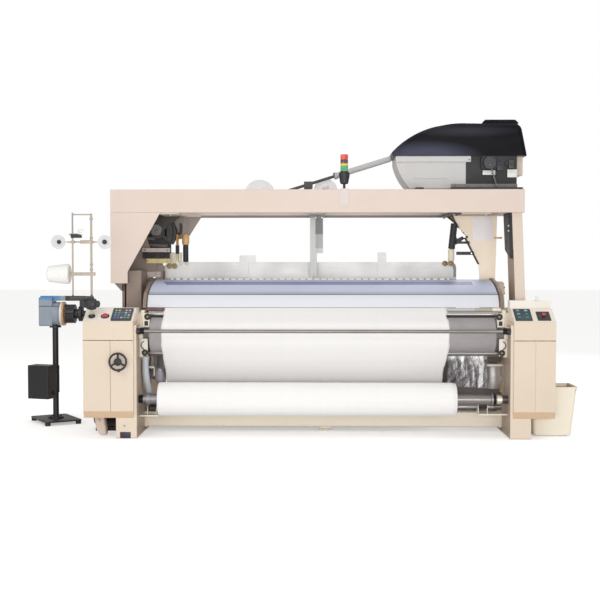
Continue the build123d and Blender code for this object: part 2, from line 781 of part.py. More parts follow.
def lever(side, x, y):
    """Sector plate whose rim guides the lifting rod, with an upper arm and its eye."""
    y0, y1 = y - lever_t / 2, y + lever_t / 2
    reach = 2 * lever_r
    open_x = side * reach * cos(radians(lever_spread))
    open_z = reach * sin(radians(lever_spread))
    mouth = [(x + open_x, lever_z + open_z), (x + open_x, lever_z - open_z)]
    wedge = front_slab([(x - side * 12, lever_z)] + mouth, y0, y1)
    plate = bar_y(lever_r, y0, y1, x, lever_z) & wedge
    inner = bar_y(lever_r - 26, y0 - 1, y1 + 1, x, lever_z)
    inner -= bar_y(lever_r - 92, y0 - 2, y1 + 2, x, lever_z)
    spread = radians(lever_spread - 14)
    cut_x = side * reach * cos(spread)
    cut_z = reach * sin(spread)
    cut_mouth = [(x + cut_x, lever_z + cut_z), (x + cut_x, lever_z - cut_z)]
    inner &= front_slab([(x, lever_z)] + cut_mouth, y0 - 1, y1 + 1)
    plate -= inner
    eye_x, eye_z = x - side * 78, lever_z + 88
    arm = front_slab(
        [
            (x - side * 20, lever_z - 14), (x + side * 14, lever_z + 22),
            (eye_x + side * 10, eye_z + 14), (eye_x - side * 14, eye_z - 12),
        ],
        y0 + 1, y1 - 1,
    )
    hub_half = shaft_pitch / 2 - 1
    plate += arm + bar_y(20, y0, y1, eye_x, eye_z)
    plate += bar_y(hub_r, y - hub_half, y + hub_half, x, lever_z)
    plate -= bar_y(9, y0 - 1, y1 + 1, eye_x, eye_z)
    return plate - bar_y(pivot_pin_r + run_gap, y - shaft_pitch, y + shaft_pitch, x, lever_z)


def lever_pair(side, x, first):
    return Compound(children=[lever(side, x, shaft_ys[n]) for n in range(first, shaft_count, 2)])


def lever_bracket(side, x):
    """Casting hung under both beams: strap, two cheeks, the pivot pin and a comb below it."""
    front_y, rear_y = lever_bracket_y
    low, high = sorted((x - side * 60, x + side * 190))
    strap_y0 = front_beam_y + 10
    strap = block(low - 40, high + 40, strap_y0, rear_beam_y + beam_depth, beam_bottom - strap_t, beam_bottom)
    body = strap
    for y0 in (front_y - lever_plate_t, rear_y):
        cheek = front_slab(
            [
                (x - side * 60, beam_bottom - strap_t), (x - side * 44, lever_z - 44),
                (x + side * 34, lever_z - 44),
                (x + side * 60, lever_z + 30), (x + side * 190, beam_bottom - strap_t),
            ],
            y0, y0 + lever_plate_t,
        )
        body += fillet(edges_along(cheek, Axis.Y).group_by(Axis.Z)[0], 20)
    body += bar_y(pivot_pin_r, front_y - lever_plate_t, rear_y + lever_plate_t, x, lever_z)
    return body


def left_lever_wall():
    """Back wall of the left casting, behind the levers, with its wide flange under the beam."""
    x, rear_y = left_lever_x, lever_bracket_y[1]
    top, foot = beam_bottom - strap_t, lever_z - 250
    outline = [
        (x - 150, top), (x - 205, lever_z - 120), (x - 120, foot), (x + 95, foot), (x + 95, lever_z - 60),
        (x + 240, lever_z - 38), (x + 262, lever_z), (x + 350, top),
    ]
    wall = front_slab(outline, rear_y, rear_y + lever_plate_t)
    wall = fillet(edges_along(wall, Axis.Y).group_by(Axis.Z)[0], 16)
    flange = block(x - 150, x + 350, rear_y - 40, rear_y + lever_plate_t, beam_bottom - strap_t, beam_bottom)
    return wall + flange


# Overhead gantry
def gantry_beam(y0):
    """Sheet metal box beam with a folded lip along its lower front edge."""
    beam = block(beam_left, beam_right, y0, y0 + beam_depth, beam_bottom, beam_top)
    beam = fillet(edges_along(beam, Axis.X), 5)
    inner = block(
        beam_left + beam_wall, beam_right - beam_wall, y0 + beam_wall, y0 + beam_depth - beam_wall,
        beam_bottom + beam_wall, beam_top - beam_wall,
    )
    return beam - inner


cover_t = 3.0
comb_depth = 30.0
comb_reach = 139.0
comb_slots = 11
panel_y = 90.0
panel_plate_t = 8.0
left_post_out = -frame_inner - 265.0
left_post_in = -frame_inner - 50.0
left_leg_x = -frame_inner - 210.0
cover_in = -frame_inner - 146.0
left_post_knee = 1150.0


def left_arch_cover():
    """Pale sheet that closes the front of the left arch, with a folded outer edge."""
    y0 = front_beam_y
    outline = [
        (beam_left, beam_bottom), (-frame_inner + 113, beam_bottom), (cover_in, left_post_knee + 90),
        (cover_in, left_post_knee), (beam_left, left_post_knee),
    ]
    sheet = front_slab(outline, y0, y0 + cover_t)
    sheet += block(beam_left, beam_left + cover_t, y0, y0 + 60, left_post_knee, beam_bottom)
    sheet += block(beam_left, cover_in, y0, y0 + 60, left_post_knee, left_post_knee + cover_t)
    return sheet


def left_arch_post():
    """Folded post of the left arch: leg on the side frame, cheek and the gusset behind the levers."""
    leg_y0, leg_y1 = front_beam_y + 70, rear_beam_y + 60
    leg_top = left_post_knee + 100
    leg = block(left_leg_x, left_post_in, leg_y0, leg_y1, frame_top, leg_top)
    leg = chamfer(edges_along(leg, Axis.Z).group_by(Axis.X)[0], 45)
    leg -= block(
        left_leg_x + beam_wall * 4, left_post_in - beam_wall, leg_y0 + beam_wall, leg_y1 - beam_wall,
        frame_top + 14, leg_top + 1,
    )
    cheek = block(left_post_out, left_post_out + beam_wall, leg_y0, leg_y1, left_post_knee, beam_bottom)
    shoulder = front_slab(
        [
            (left_post_out, left_post_knee), (left_leg_x, left_post_knee - 60),
            (left_leg_x + beam_wall, left_post_knee - 60),
            (left_leg_x + beam_wall, left_post_knee + 12), (left_post_out, left_post_knee + 12),
        ],
        leg_y0, leg_y1,
    )
    gusset = front_slab(
        [
            (left_post_out, left_post_knee + 6), (left_post_in, left_post_knee - 10),
            (-frame_inner + 60, 1255), (-frame_inner + 80, 1300), (-frame_inner - 30, 1440),
            (-frame_inner - 110, beam_bottom), (left_post_out, beam_bottom),
        ],
        panel_y, panel_y + panel_plate_t,
    )
    strip = block(-frame_inner - 80, -frame_inner + 60, panel_y - strap_t, panel_y, 1192, 1238)
    return leg + cheek + shoulder + gusset + strip + lever_comb()


def lever_comb():
    """Guide comb on the gusset's front, between its upper and lower bars."""
    rear, front = panel_y, panel_y - comb_depth
    x0, x1 = -frame_inner - 88, -frame_inner + comb_reach
    z0 = lever_z - 250
    z1, z2, z3 = z0 + 38, z0 + 92, z0 + 125
    low_bar = block(x0 + 34, x1 + 2, front + 4, rear, z0, z1)
    top_bar = block(x0, x1, front, rear, z2, z3)
    comb = block(x0 + 3, x1 - 4, front + 8, rear, z1, z2)
    for slot in range(comb_slots):
        middle = x0 + 20 + slot * (x1 - x0 - 44) / (comb_slots - 1)
        comb -= block(middle - 4, middle + 4, front + 7, rear - 12, z1 + 6, z2 - 6)
    return low_bar + comb + top_bar


def right_arch_panel():
    """Tapered folded panel of the right arch, with a side return and a foot on the side frame."""
    top = beam_bottom - strap_t
    face = front_slab(
        [
            (frame_inner - 323, top), (frame_inner + 35, top), (frame_inner + 15, frame_top),
            (frame_inner - 90, frame_top), (frame_inner - 113, 1285),
        ],
        panel_y, panel_y + panel_plate_t,
    )
    cheek = front_slab(
        [
            (frame_inner + 27, top), (frame_inner + 35, top),
            (frame_inner + 15, frame_top), (frame_inner + 7, frame_top),
        ],
        panel_y, rear_beam_y,
    )
    foot = block(frame_inner - 90, frame_outer - 10, panel_y, panel_y + 110, frame_top, frame_top + 14)
    return face + cheek + foot


post_x0 = frame_inner + 91.0
post_x1 = frame_inner + 170.0
post_lean = 175.0


def right_outer_post():
    """Leaning box post from the side frame to the end of the beams."""
    top_y0, depth = front_beam_y + 20, 270
    post = side_slab(
        [
            (top_y0, beam_bottom), (top_y0 - post_lean, frame_top), (top_y0 - post_lean + depth, frame_top),
            (top_y0 + depth, beam_bottom),
        ],
        post_x0, post_x1,
    )
    post -= side_slab(
        [
            (top_y0 + 8, beam_bottom - 20), (top_y0 - post_lean + 8, frame_top + 20),
            (top_y0 - post_lean + depth - 8, frame_top + 20), (top_y0 + depth - 8, beam_bottom - 20),
        ],
        post_x0 + 8, post_x1 - 8,
    )
    foot_y0 = top_y0 - post_lean - 20
    foot = block(frame_inner + 20, post_x1, foot_y0, foot_y0 + depth + 40, frame_top, frame_top + 12)
    return post + foot


def cable_duct():
    """Black cable duct with a slanted lower end on the post's inner face."""
    lean = post_lean / (beam_bottom - frame_top)
    y_top = front_beam_y + 32
    drop = beam_bottom - 1345
    duct = side_slab(
        [
            (y_top, beam_bottom), (y_top - drop * lean, beam_bottom - drop),
            (y_top - drop * lean + 240, beam_bottom - drop + 70), (y_top + 240, beam_bottom),
        ],
        post_x0 - 26, post_x0,
    )
    for step in (96, 128):
        duct += bar_x(6, post_x0 - 29, post_x0 - 26, (y_top + 110, beam_bottom - step))
    return duct


hanger_y = 84.0


def centre_hanger():
    """Bright strip and its darker backing strip, hung from a strap under both beams."""
    strap = block(-110, 20, front_beam_y + 10, rear_beam_y + beam_depth, beam_bottom - strap_t, beam_bottom)
    long_strip = block(-103, -46, hanger_y, hanger_y + 8, 1200, beam_bottom - strap_t)
    long_strip += block(-103, -95, hanger_y, hanger_y + 30, 1200, beam_bottom - strap_t)
    short_strip = block(-60, 3, hanger_y + 8, hanger_y + 16, 1390, beam_bottom - strap_t)
    bolts = [bar_y(6, hanger_y - 5, hanger_y, -74, z) for z in (1225, 1660)]
    return strap + long_strip + short_strip + bolts


# Splash hood
hood_t = 4.0
hood_left = -frame_inner + 32.0
hood_right = frame_inner - 34.0
hood_rear = (50.0, 1175.0)
hood_crest = (-190.0, 1138.0)
hood_brow = (-395.0, 1064.0)
hood_cheek = (-430.0, 1020.0)
hood_lip = (-450.0, 968.0)
hood_pin_r = 8.0
hood_hinge = (hood_rear[0] - 6.0, hood_rear[1] - 14.0)


def hood_face(x0, x1):
    """The hood's section, two arcs that meet at the brow, given its width along X."""
    def at(point):
        return (x0, point[0], point[1])
    outer = [
        ThreePointArc(at(hood_rear), at(hood_crest), at(hood_brow)),
        ThreePointArc(at(hood_brow), at(hood_cheek), at(hood_lip)),
    ]
    rear_in = (x0, hood_rear[0], hood_rear[1] - hood_t)
    crest_in = (x0, hood_crest[0] + 1, hood_crest[1] - hood_t)
    brow_in = (x0, hood_brow[0] + 3, hood_brow[1] - hood_t)
    cheek_in = (x0, hood_cheek[0] + hood_t, hood_cheek[1] - 1)
    lip_in = (x0, hood_lip[0] + hood_t, hood_lip[1])
    inner = [
        Line(at(hood_lip), lip_in), ThreePointArc(lip_in, cheek_in, brow_in),
        ThreePointArc(brow_in, crest_in, rear_in), Line(rear_in, at(hood_rear)),
    ]
    return extrude(make_face(Wire(outer + inner)), amount=x1 - x0, dir=(1, 0, 0))


def splash_hood():
    """Curved cover over the reed that swings up on its rear hinge pin."""
    hood = hood_face(hood_left, hood_right)
    for x0 in (hood_left, hood_right - hood_t):
        rib_points = [hood_rear, hood_crest, hood_brow, hood_cheek, hood_lip]
        inner_points = [(-414, 968), (-398, 1010), (-372, 1036), (-185, 1104), (30, 1142)]
        hood += side_slab(rib_points + inner_points, x0, x0 + hood_t)
    hood += bar_x(hood_pin_r, -frame_inner + 1, frame_inner - 1, hood_hinge)
    web_top = hood_rear[1] - hood_t / 2
    web = block(hood_left, hood_right, hood_hinge[0] - 2, hood_hinge[0] + 2, hood_hinge[1], web_top)
    return hood + web


def hood_bracket(side):
    """Curved side plate that carries the hood's pin and stands on the side frame."""
    low, high = sorted((side * (frame_inner - 26), side * frame_inner))
    plate = side_slab(
        [
            (hood_rear[0] + 34, hood_rear[1] + 12), (hood_crest[0], hood_crest[1] + 18),
            (hood_brow[0] - 18, hood_brow[1] + 14),
            (hood_cheek[0] - 30, hood_cheek[1]), (hood_lip[0] - 24, upper_guide_axis[1] + 40),
            (hood_lip[0] + 30, upper_guide_axis[1] + 40), (hood_cheek[0] + 40, hood_cheek[1]),
            (-340, 1050), (-190, 1090),
            (-90, 1090), (-60, frame_top - 40), (60, frame_top - 40), (hood_rear[0] + 34, 1100),
        ],
        low, high,
    )
    plate = fillet(edges_along(plate, Axis.X), 8)
    return plate - bar_x(hood_pin_r + run_gap, low - 1, high + 1, hood_hinge)


# Dobby on top of the gantry
dobby_front = -50.0
dobby_depth = 450.0
dobby_split_z = 2170.0
dobby_base_z = beam_top + 16
nose_x = frame_inner - 830.0
dobby_right = nose_x + 1078.0
casing_right = nose_x + 590.0
drive_right = nose_x + 1002.0


def dobby_hood():
    """Long moulded hood: rising curve from the nose cap, flat crown and a raised vent box."""
    y0, y1 = dobby_front, dobby_front + dobby_depth
    nose, crown, back = (nose_x, 2205), (nose_x + 396, 2417), (dobby_right - 112, 2430)
    edges = [
        Line((nose[0], y0, dobby_split_z), (nose[0], y0, nose[1])),
        ThreePointArc((nose[0], y0, nose[1]), (nose_x + 175, y0, 2341), (crown[0], y0, crown[1])),
        ThreePointArc((crown[0], y0, crown[1]), (nose_x + 500, y0, 2433), (nose_x + 600, y0, 2435)),
        Line((nose_x + 600, y0, 2435), (back[0], y0, back[1])),
        ThreePointArc((back[0], y0, back[1]), (dobby_right - 58, y0, 2417), (dobby_right - 36, y0, 2376)),
        Line((dobby_right - 36, y0, 2376), (dobby_right, y0, 2200)),
        Line((dobby_right, y0, 2200), (dobby_right, y0, dobby_split_z)),
        Line((dobby_right, y0, dobby_split_z), (nose[0], y0, dobby_split_z)),
    ]
    shell = extrude(make_face(Wire(edges)), amount=dobby_depth, dir=(0, 1, 0))
    rims = shell.edges().filter_by(lambda e: e.center().Z > nose[1] + 2 and abs(e.tangent_at(0.5).Y) < 0.5)
    shell = fillet(rims, 38)
    vent = block(nose_x + 727, nose_x + 1017, y0 + 60, y1 - 60, 2400, 2468)
    vent = chamfer(edges_along(vent, Axis.Y).group_by(Axis.Z)[-1], 26)
    vent = fillet(edges_along(vent, Axis.X).group_by(Axis.Z)[-1], 14)
    shell += vent
    seam = block(nose_x + 56, nose_x + 62, y0 - 1, y0 + 3, dobby_split_z - 1, 2300)
    return shell - seam


def dobby_casing():
    """Grey lower casing with a swept nose, a rail under the hood and a service groove."""
    y0, y1 = dobby_front + 12, dobby_front + dobby_depth - 12
    rail_z = dobby_split_z - 50
    edges = [
        Line((casing_right, y0, dobby_base_z), (nose_x + 151, y0, dobby_base_z)),
        ThreePointArc((nose_x + 151, y0, dobby_base_z), (nose_x + 68, y0, 2013), (nose_x + 28, y0, rail_z)),
        Line((nose_x + 28, y0, rail_z), (casing_right, y0, rail_z)),
        Line((casing_right, y0, rail_z), (casing_right, y0, dobby_base_z)),
    ]
    body = extrude(make_face(Wire(edges)), amount=y1 - y0, dir=(0, 1, 0))
    body = fillet(edges_along(body, Axis.X).group_by(Axis.Z)[0], 12)
    rail = block(nose_x + 28, casing_right + 40, y0 - 8, y1 + 8, rail_z, dobby_split_z)
    rail = fillet(edges_along(rail, Axis.X), 6)
    groove = block(nose_x + 170, nose_x + 444, y0 - 1, y0 + 4, 1984, 1989)
    return body + rail - groove


def dobby_drive_box():
    """Black drive section with its motor cover, sockets, base frame and lifting rod."""
    y0, y1 = dobby_front + 20, dobby_front + dobby_depth - 20
    box = block(casing_right, drive_right, y0, y1, dobby_base_z, dobby_split_z - 50)
    box += block(casing_right + 40, drive_right, y0, y1, dobby_split_z - 50, dobby_split_z)
    box = fillet(edges_along(box, Axis.Z).group_by(Axis.X)[-1], 10)
    cover_x, cover_z = nose_x + 772, 2118
    cover = block(cover_x - 62, cover_x + 62, y0 - 34, y0, cover_z - 58, dobby_split_z - 2)
    box += fillet(cover.edges().filter_by(Axis.Y), 20)
    box += bar_y(40, y0 - 46, y0, cover_x, cover_z)
    for spot in ((nose_x + 858, 2098), (nose_x + 920, 2110), (nose_x + 952, 2080)):
        box += bar_y(18, y0 - 20, y0, *spot)
    box += block(casing_right - 130, drive_right + 8, front_beam_y + 20, y1, beam_top, dobby_base_z)
    for x in (nose_x + 200, nose_x + 480):
        box += block(x - 30, x + 30, front_beam_y + 20, rear_beam_y + 60, beam_top, dobby_base_z)
    back = block(drive_right, dobby_right - 18, y0 + 60, y1 - 10, 2020, dobby_split_z)
    return box + fillet(back.edges().filter_by(Axis.Z), 8)


tube_y = 190.0
tube_high = (nose_x + 12.0, dobby_split_z + 2.0)
tube_low = (-frame_inner + 579.0, beam_bottom + 40.0)
tube_sleeve_r = 24.0
sleeve_length = 475.0
tube_r = 12.0


def harness_tube():
    """Straight tube that leads the pull rods from the dobby's nose down to the left levers."""
    run_x = tube_low[0] - tube_high[0]
    run_z = tube_low[1] - tube_high[1]
    length = (run_x ** 2 + run_z ** 2) ** 0.5
    start = Plane(origin=(tube_high[0], tube_y, tube_high[1]), z_dir=(run_x, 0, run_z))
    tube = start.location * standing(tube_r, length)
    thick = standing(tube_sleeve_r, sleeve_length)
    collar = Pos(0, 0, sleeve_length) * standing(tube_sleeve_r + 5, 26)
    tube += start.location * thick + start.location * collar
    tube -= block(nose_x - seat_gap, nose_x + 100, tube_y - 60, tube_y + 60, beam_top, 2400)
    block_x = -118.0
    block_z = tube_high[1] + (block_x - tube_high[0]) * run_z / run_x
    clamp = block(block_x - 36, block_x + 36, tube_y - 30, tube_y + 30, block_z - 34, block_z + 22)
    shelf_y = (front_beam_y + beam_depth - 60, rear_beam_y + 60)
    shelf = block(block_x - 30, block_x + 30, *shelf_y, beam_top, beam_top + 8)
    post = block(block_x - 20, block_x + 20, tube_y - 20, tube_y + 20, beam_top + 8, block_z - 34)
    return tube + clamp + shelf + post


# Signal tower
tower_x = 168.0
tower_y = front_beam_y + 40
lens_r = 30.0
lens_steps = (2028.0, 2071.0, 2090.0, 2119.0, 2161.0)


def signal_tower():
    stem = bar_z(10, beam_top, 1938, tower_x, tower_y)
    cup = Pos(tower_x, tower_y, 1930) * Cone(30, 43, 66, align=(Align.CENTER, Align.CENTER, Align.MIN))
    cup += bar_z(43, 1996, 2016, tower_x, tower_y)
    cup = fillet(cup.edges().group_by(Axis.Z)[0], 10)
    ring = bar_z(34, 2016, lens_steps[0], tower_x, tower_y)
    plate = block(tower_x - 34, tower_x + 34, front_beam_y - 5, front_beam_y, beam_top - 130, beam_top + 6)
    plate += block(tower_x - 34, tower_x + 34, front_beam_y - 5, tower_y + 20, beam_top, beam_top + 6)
    for z in (beam_top - 110, beam_top - 45):
        plate += bar_y(6, front_beam_y - 9, front_beam_y - 5, tower_x, z)
    return stem + cup + ring + plate


def signal_lenses():
    lenses = []
    for z0, z1 in zip(lens_steps, lens_steps[1:]):
        lens = bar_z(lens_r, z0, z1, tower_x, tower_y)
        lenses.append(chamfer(lens.edges().filter_by(GeomType.CIRCLE), 2))
    return Compound(children=lenses)


# Weft feeder on its stand
stand_x = -console_in - 784.0
stand_y = 50.0
stand_plate_t = 12.0
stand_foot_h = 24.0
stand_top = 781.0
post_r = 24.0
stand_flange_t = 14.0
feeder_z = 893.0
ring_r = 98.0
feeder_back = stand_x - 118.0
ring_x0 = feeder_back + 167.0
ring_x1 = ring_x0 + 36.0
drum_x = ring_x1 + 12.0
eye_x = drum_x + 126.0
drum_r = 77.0


def feeder_stand():
    """Black floor stand: plate on four feet, round flange, post with a sleeve, and control box."""
    plate_z = stand_foot_h
    plate = Box(300, 400, stand_plate_t, align=(Align.CENTER, Align.CENTER, Align.MIN))
    plate = fillet(plate.edges().filter_by(Axis.Z), 14)
    feet = [
        Pos(x * 128, y * 178, -stand_foot_h) * standing(22, stand_foot_h)
        for x in (-1, 1) for y in (-1, 1)
    ]
    base = Pos(stand_x, stand_y, plate_z) * Rot(0, 0, 32) * (plate + feet)
    flange = bar_z(62, plate_z + stand_plate_t, plate_z + stand_plate_t + 12, stand_x, stand_y)
    for turn in range(4):
        angle = radians(45 + 90 * turn)
        flange += bar_z(7, plate_z + 24, plate_z + 32, stand_x + 46 * cos(angle), stand_y + 46 * sin(angle))
    post = bar_z(post_r, plate_z + stand_plate_t, stand_top, stand_x, stand_y)
    post += bar_z(post_r + 6, 247, 468, stand_x, stand_y)
    top = bar_z(48, stand_top, stand_top + stand_flange_t, stand_x, stand_y)
    return base + flange + post + top + control_box()


def control_box():
    """Control box clamped to the post's sleeve, with a socket on its side."""
    box = Box(190, 130, 270)
    box = fillet(box.edges().filter_by(Axis.Z), 6)
    box += Pos(96, 20, -90) * Rot(0, 90, 0) * Cylinder(14, 24)
    box += Pos(50, 75, 0) * Box(60, 40, 120)
    return Pos(stand_x - 88, stand_y - 96, 345) * Rot(0, 0, -18) * box


def feeder_body():
    """Weft feeder: motor housing, bridge over the drum, ridged drum, brush ring and outlet eye."""
    axis = (stand_y, feeder_z)
    back, front = feeder_back, feeder_back + 110
    housing = block(back, front, stand_y - 78, stand_y + 78, stand_top + stand_flange_t, 1030)
    housing = fillet(housing.edges().filter_by(Axis.X), 14)
    housing = fillet(housing.edges().group_by(Axis.X)[0], 8)
    groove = block(back - 1, back + 83, stand_y - 79, stand_y - 75, 954, 960)
    bell = bar_x(96, front, ring_x0 - 2, axis)
    bell = chamfer(bell.edges().group_by(Axis.X)[-1], 8)
    bridge = block(back, back + 363, stand_y - 26, stand_y + 26, 1000, 1040)
    bridge = fillet(bridge.edges().filter_by(Axis.Z), 10)
    core = bar_x(20, ring_x0 - 2, drum_x + 8, axis)
    drum = bar_x(drum_r, drum_x, drum_x + 70, axis)
    for turn in range(12):
        angle = radians(turn * 30)
        place = (axis[0] + drum_r * cos(angle), axis[1] + drum_r * sin(angle))
        drum -= bar_x(8, drum_x - 1, drum_x + 71, place)
    drum += bar_x(40, drum_x + 70, drum_x + 94, axis)
    arm = block(eye_x - 18, eye_x + 10, stand_y - 20, stand_y + 20, feeder_z - 60, 1010)
    brush = bar_x(62, eye_x - 24, eye_x, axis) - bar_x(44, eye_x - 25, eye_x + 1, axis)
    bore = bar_x(12, eye_x - 25, eye_x + 43, axis)
    eye = bar_x(26, eye_x, eye_x + 42, axis) - bore
    eye_arm = block(eye_x - 24, eye_x, stand_y - 62, stand_y + 62, feeder_z - 8, feeder_z + 8) - bore
    drum += bar_x(12, drum_x + 94, eye_x - 25, axis)
    return housing - groove + bell + bridge + core + drum + arm + brush + eye_arm + eye


def feeder_ring():
    """Winding disc that turns round the feeder's core and lays yarn on the drum."""
    axis = (stand_y, feeder_z)
    ring = bar_x(ring_r, ring_x0, ring_x1, axis)
    ring = fillet(ring.edges().filter_by(GeomType.CIRCLE), 8)
    ring -= bar_x(ring_r - 18, ring_x1 - 14, ring_x1 + 1, axis)
    ring += bar_x(34, ring_x1 - 15, ring_x1, axis)
    return ring - bar_x(20 + run_gap, ring_x0 - 1, ring_x1 + 1, axis)


# Yarn creel on the left console
creel_up = 0.37
creel_x = -console_in - 317.0
creel_y = console_front + creel_up * slope_run
creel_foot_z = slope_z + creel_up * slope_rise
creel_reach = 140.0
creel_top = 1672.0
creel_arm_zs = (1468.0, 1229.0)
disc_r = 52.0
spindle_over = 7.0            # rod past the disc's middle
cone_x0 = creel_x - 329.0
cone_x1 = creel_x - 165.0


def creel_frame():
    """Two poles and a top rod, with a ball clamp, cross arms, tension discs and yarn guides."""
    left_x = creel_x - creel_reach
    frame = bar_z(8, creel_foot_z - 20, creel_top + 8, creel_x, creel_y)
    frame += bar_z(6, 1050, creel_top + 14, left_x, creel_y)
    foot = on_slope(creel_x, creel_up).location * standing(26, 7)
    ball = Pos(creel_x, creel_y, 1015) * Sphere(34)
    lower_arm = bar_x(15, left_x - 20, creel_x, (creel_y, 1050))
    frame += foot + ball + lower_arm + bar_x(5, left_x, creel_x, (creel_y, creel_top))
    for z in (1640, 1300, 1498, 1262):
        frame += bar_z(12, z - 8, z + 8, creel_x, creel_y)
    disc_xs = (left_x - 110, creel_x + 100)
    spindles = (
        (creel_arm_zs[0], disc_xs[0] - spindle_over, disc_xs[1] + spindle_over),
        (creel_arm_zs[1], cone_x0 + 40, creel_x + 20),
    )
    for z, x0, x1 in spindles:
        frame += bar_x(5, x0, x1, (creel_y + 13, z))
        for pole_x in (left_x, creel_x):
            frame += block(pole_x - 12, pole_x + 12, creel_y - 8, creel_y + 19, z - 10, z + 10)
    for x in disc_xs:
        disc = bar_y(disc_r, creel_y + 3, creel_y + 10, x, creel_arm_zs[0])
        disc += bar_y(14, creel_y - 10, creel_y + 20, x, creel_arm_zs[0])
        frame += disc
    frame += block(left_x - 24, left_x + 54, creel_y - 9, creel_y + 9, 1516, 1532)
    return frame


def yarn_cone():
    """Wound weft cone on its spindle, wider at its base."""
    axis = (creel_y + 13, creel_arm_zs[1])
    place = Pos((cone_x0 + cone_x1) / 2, axis[0], axis[1]) * Rot(0, 90, 0)
    cone = place * Cone(58, 78, cone_x1 - cone_x0)
    cone = fillet(cone.edges().filter_by(GeomType.CIRCLE), 16)
    return cone - bar_x(5.3, cone_x0 - 1, cone_x1 + 1, axis)


# Waste bin
bin_rim = 6.0
bin_front = console_step_y + bin_rim + seat_gap
bin_bottom = (console_in + 181.0, console_in + 464.0, bin_front + 25.0, bin_front + 255.0)
bin_top = (console_in + 145.0, console_in + 505.0, bin_front, bin_front + 280.0)
bin_h = 378.0
bin_wall = 4.0
bin_foot = 10.0


def bin_loft(inset, z0, z1):
    sketches = []
    for (x0, x1, y0, y1), z in ((bin_bottom, z0), (bin_top, z1)):
        shape = RectangleRounded(x1 - x0 - 2 * inset, y1 - y0 - 2 * inset, 26 - inset)
        sketches.append(Pos((x0 + x1) / 2, (y0 + y1) / 2, z) * shape)
    return loft(sketches)


def waste_bin():
    """Tapered open bin with a rolled rim and four short feet."""
    body = bin_loft(0.0, bin_foot, bin_h) - bin_loft(bin_wall, bin_foot + bin_wall, bin_h + 0.5)
    x0, x1, y0, y1 = bin_top
    rim = RectangleRounded(x1 - x0 + 2 * bin_rim, y1 - y0 + 2 * bin_rim, 30)
    rim -= RectangleRounded(x1 - x0 - 2 * bin_wall, y1 - y0 - 2 * bin_wall, 22)
    body += extrude(Pos((x0 + x1) / 2, (y0 + y1) / 2, bin_h - 10) * rim, 10)
    for x in (bin_bottom[0] + 34, bin_bottom[1] - 34):
        for y in (bin_bottom[2] + 34, bin_bottom[3] - 34):
            body += bar_z(12, 0, bin_foot, x, y)
    return body


# Drive motor, water pipe, drip tray and splash curtain
motor_axis = (-300.0, 128.0)
motor_r = 88.0


def main_motor():
    """Foot mounted motor beside the left side frame, with cooling fins, fan cowl and belt pulley."""
    out = -frame_outer
    body = bar_x(motor_r - 10, out - 250, out - 40, motor_axis)
    fins = 20
    for turn in range(fins):
        fin = block(out - 220, out - 60, -2.5, 2.5, 0, motor_r)
        body += Pos(0, *motor_axis) * Rot(turn * 360 / fins, 0, 0) * fin
    cowl = bar_x(motor_r + 2, out - 252, out - 205, motor_axis)
    body += fillet(cowl.edges().group_by(Axis.X)[0], 10)
    body += bar_x(motor_r - 4, out - 60, out - 40, motor_axis)
    body += bar_x(14, out - 40, out, motor_axis)
    pulley = bar_x(58, out - 34, out - 6, motor_axis)
    for step in (-27, -20, -13):
        ring = bar_x(59, out + step - 1.5, out + step + 1.5, motor_axis)
        ring -= bar_x(52, out + step - 2, out + step + 2, motor_axis)
        pulley -= ring
    body += pulley
    rail = block(out - 230, out - 50, motor_axis[0] - 100, motor_axis[0] + 100, 0, 24)
    foot = block(out - 200, out - 80, motor_axis[0] - 50, motor_axis[0] + 50, 24, motor_axis[1] - 40)
    return body + rail + foot


hose_r = 25.0
hose_cap_h = 24.0
hose_top_z = press_axis[1] - press_r - hose_cap_h
hose_points = [
    (-frame_inner + 32.0, -552.0, hose_top_z), (-frame_inner + 32.0, -552.0, 500.0),
    (-frame_inner + 38.0, -548.0, 425.0), (-frame_inner + 52.0, -536.0, 352.0),
    (-frame_inner + 58.0, -520.0, 286.0),
]


def water_hose():
    """Suction hose held between its two elbows on the left side frame."""
    runs = [Vector(*a).sub(Vector(*b)).length for a, b in zip(hose_points, hose_points[1:])]
    radii = []
    for index in range(1, len(hose_points) - 1):
        before = Vector(*hose_points[index]) - Vector(*hose_points[index - 1])
        after = Vector(*hose_points[index + 1]) - Vector(*hose_points[index])
        half_turn = radians(before.get_angle(after)) / 2
        radii.append(0.45 * min(runs[index - 1], runs[index]) / (sin(half_turn) / cos(half_turn)))
    path = FilletPolyline(*hose_points, radius=radii)
    section = Plane(origin=hose_points[0], z_dir=(0, 0, -1)) * Circle(hose_r)
    hose = sweep(section, path=path)
    print("hose bend radii", [round(radius) for radius in radii])
    top_x, top_y, top_z = hose_points[0]
    top_cap = bar_z(hose_r + 5, top_z, top_z + hose_cap_h, top_x, top_y)
    top_cap += bar_x(10, -frame_inner, top_x, (top_y, top_z + hose_cap_h / 2))
    low_end = Plane(origin=hose_points[-1], z_dir=Vector(*hose_points[-1]) - Vector(*hose_points[-2]))
    low_cap = low_end.location * standing(hose_r + 5, hose_cap_h)
    low_x, low_y, low_z = hose_points[-1]
    low_cap += bar_x(10, -frame_inner, low_x, (low_y + 3, low_z - hose_cap_h / 2))
    return Compound(children=[hose, top_cap, low_cap])


tray_y = (-440.0, -392.0)
tray_z = (588.0, 640.0)


def drip_tray():
    """Folded tray under the take-up roller, open upwards, bolted between the side frames."""
    outline = [
        (tray_y[0], tray_z[0]), (tray_y[1], tray_z[0]), (tray_y[1], tray_z[1]), (tray_y[1] - 3, tray_z[1]),
        (tray_y[1] - 3, tray_z[0] + 3), (tray_y[0] + 3, tray_z[0] + 3),
        (tray_y[0] + 3, tray_z[1] - 20), (tray_y[0], tray_z[1] - 20),
    ]
    return side_slab(outline, -bracket_in, bracket_in)


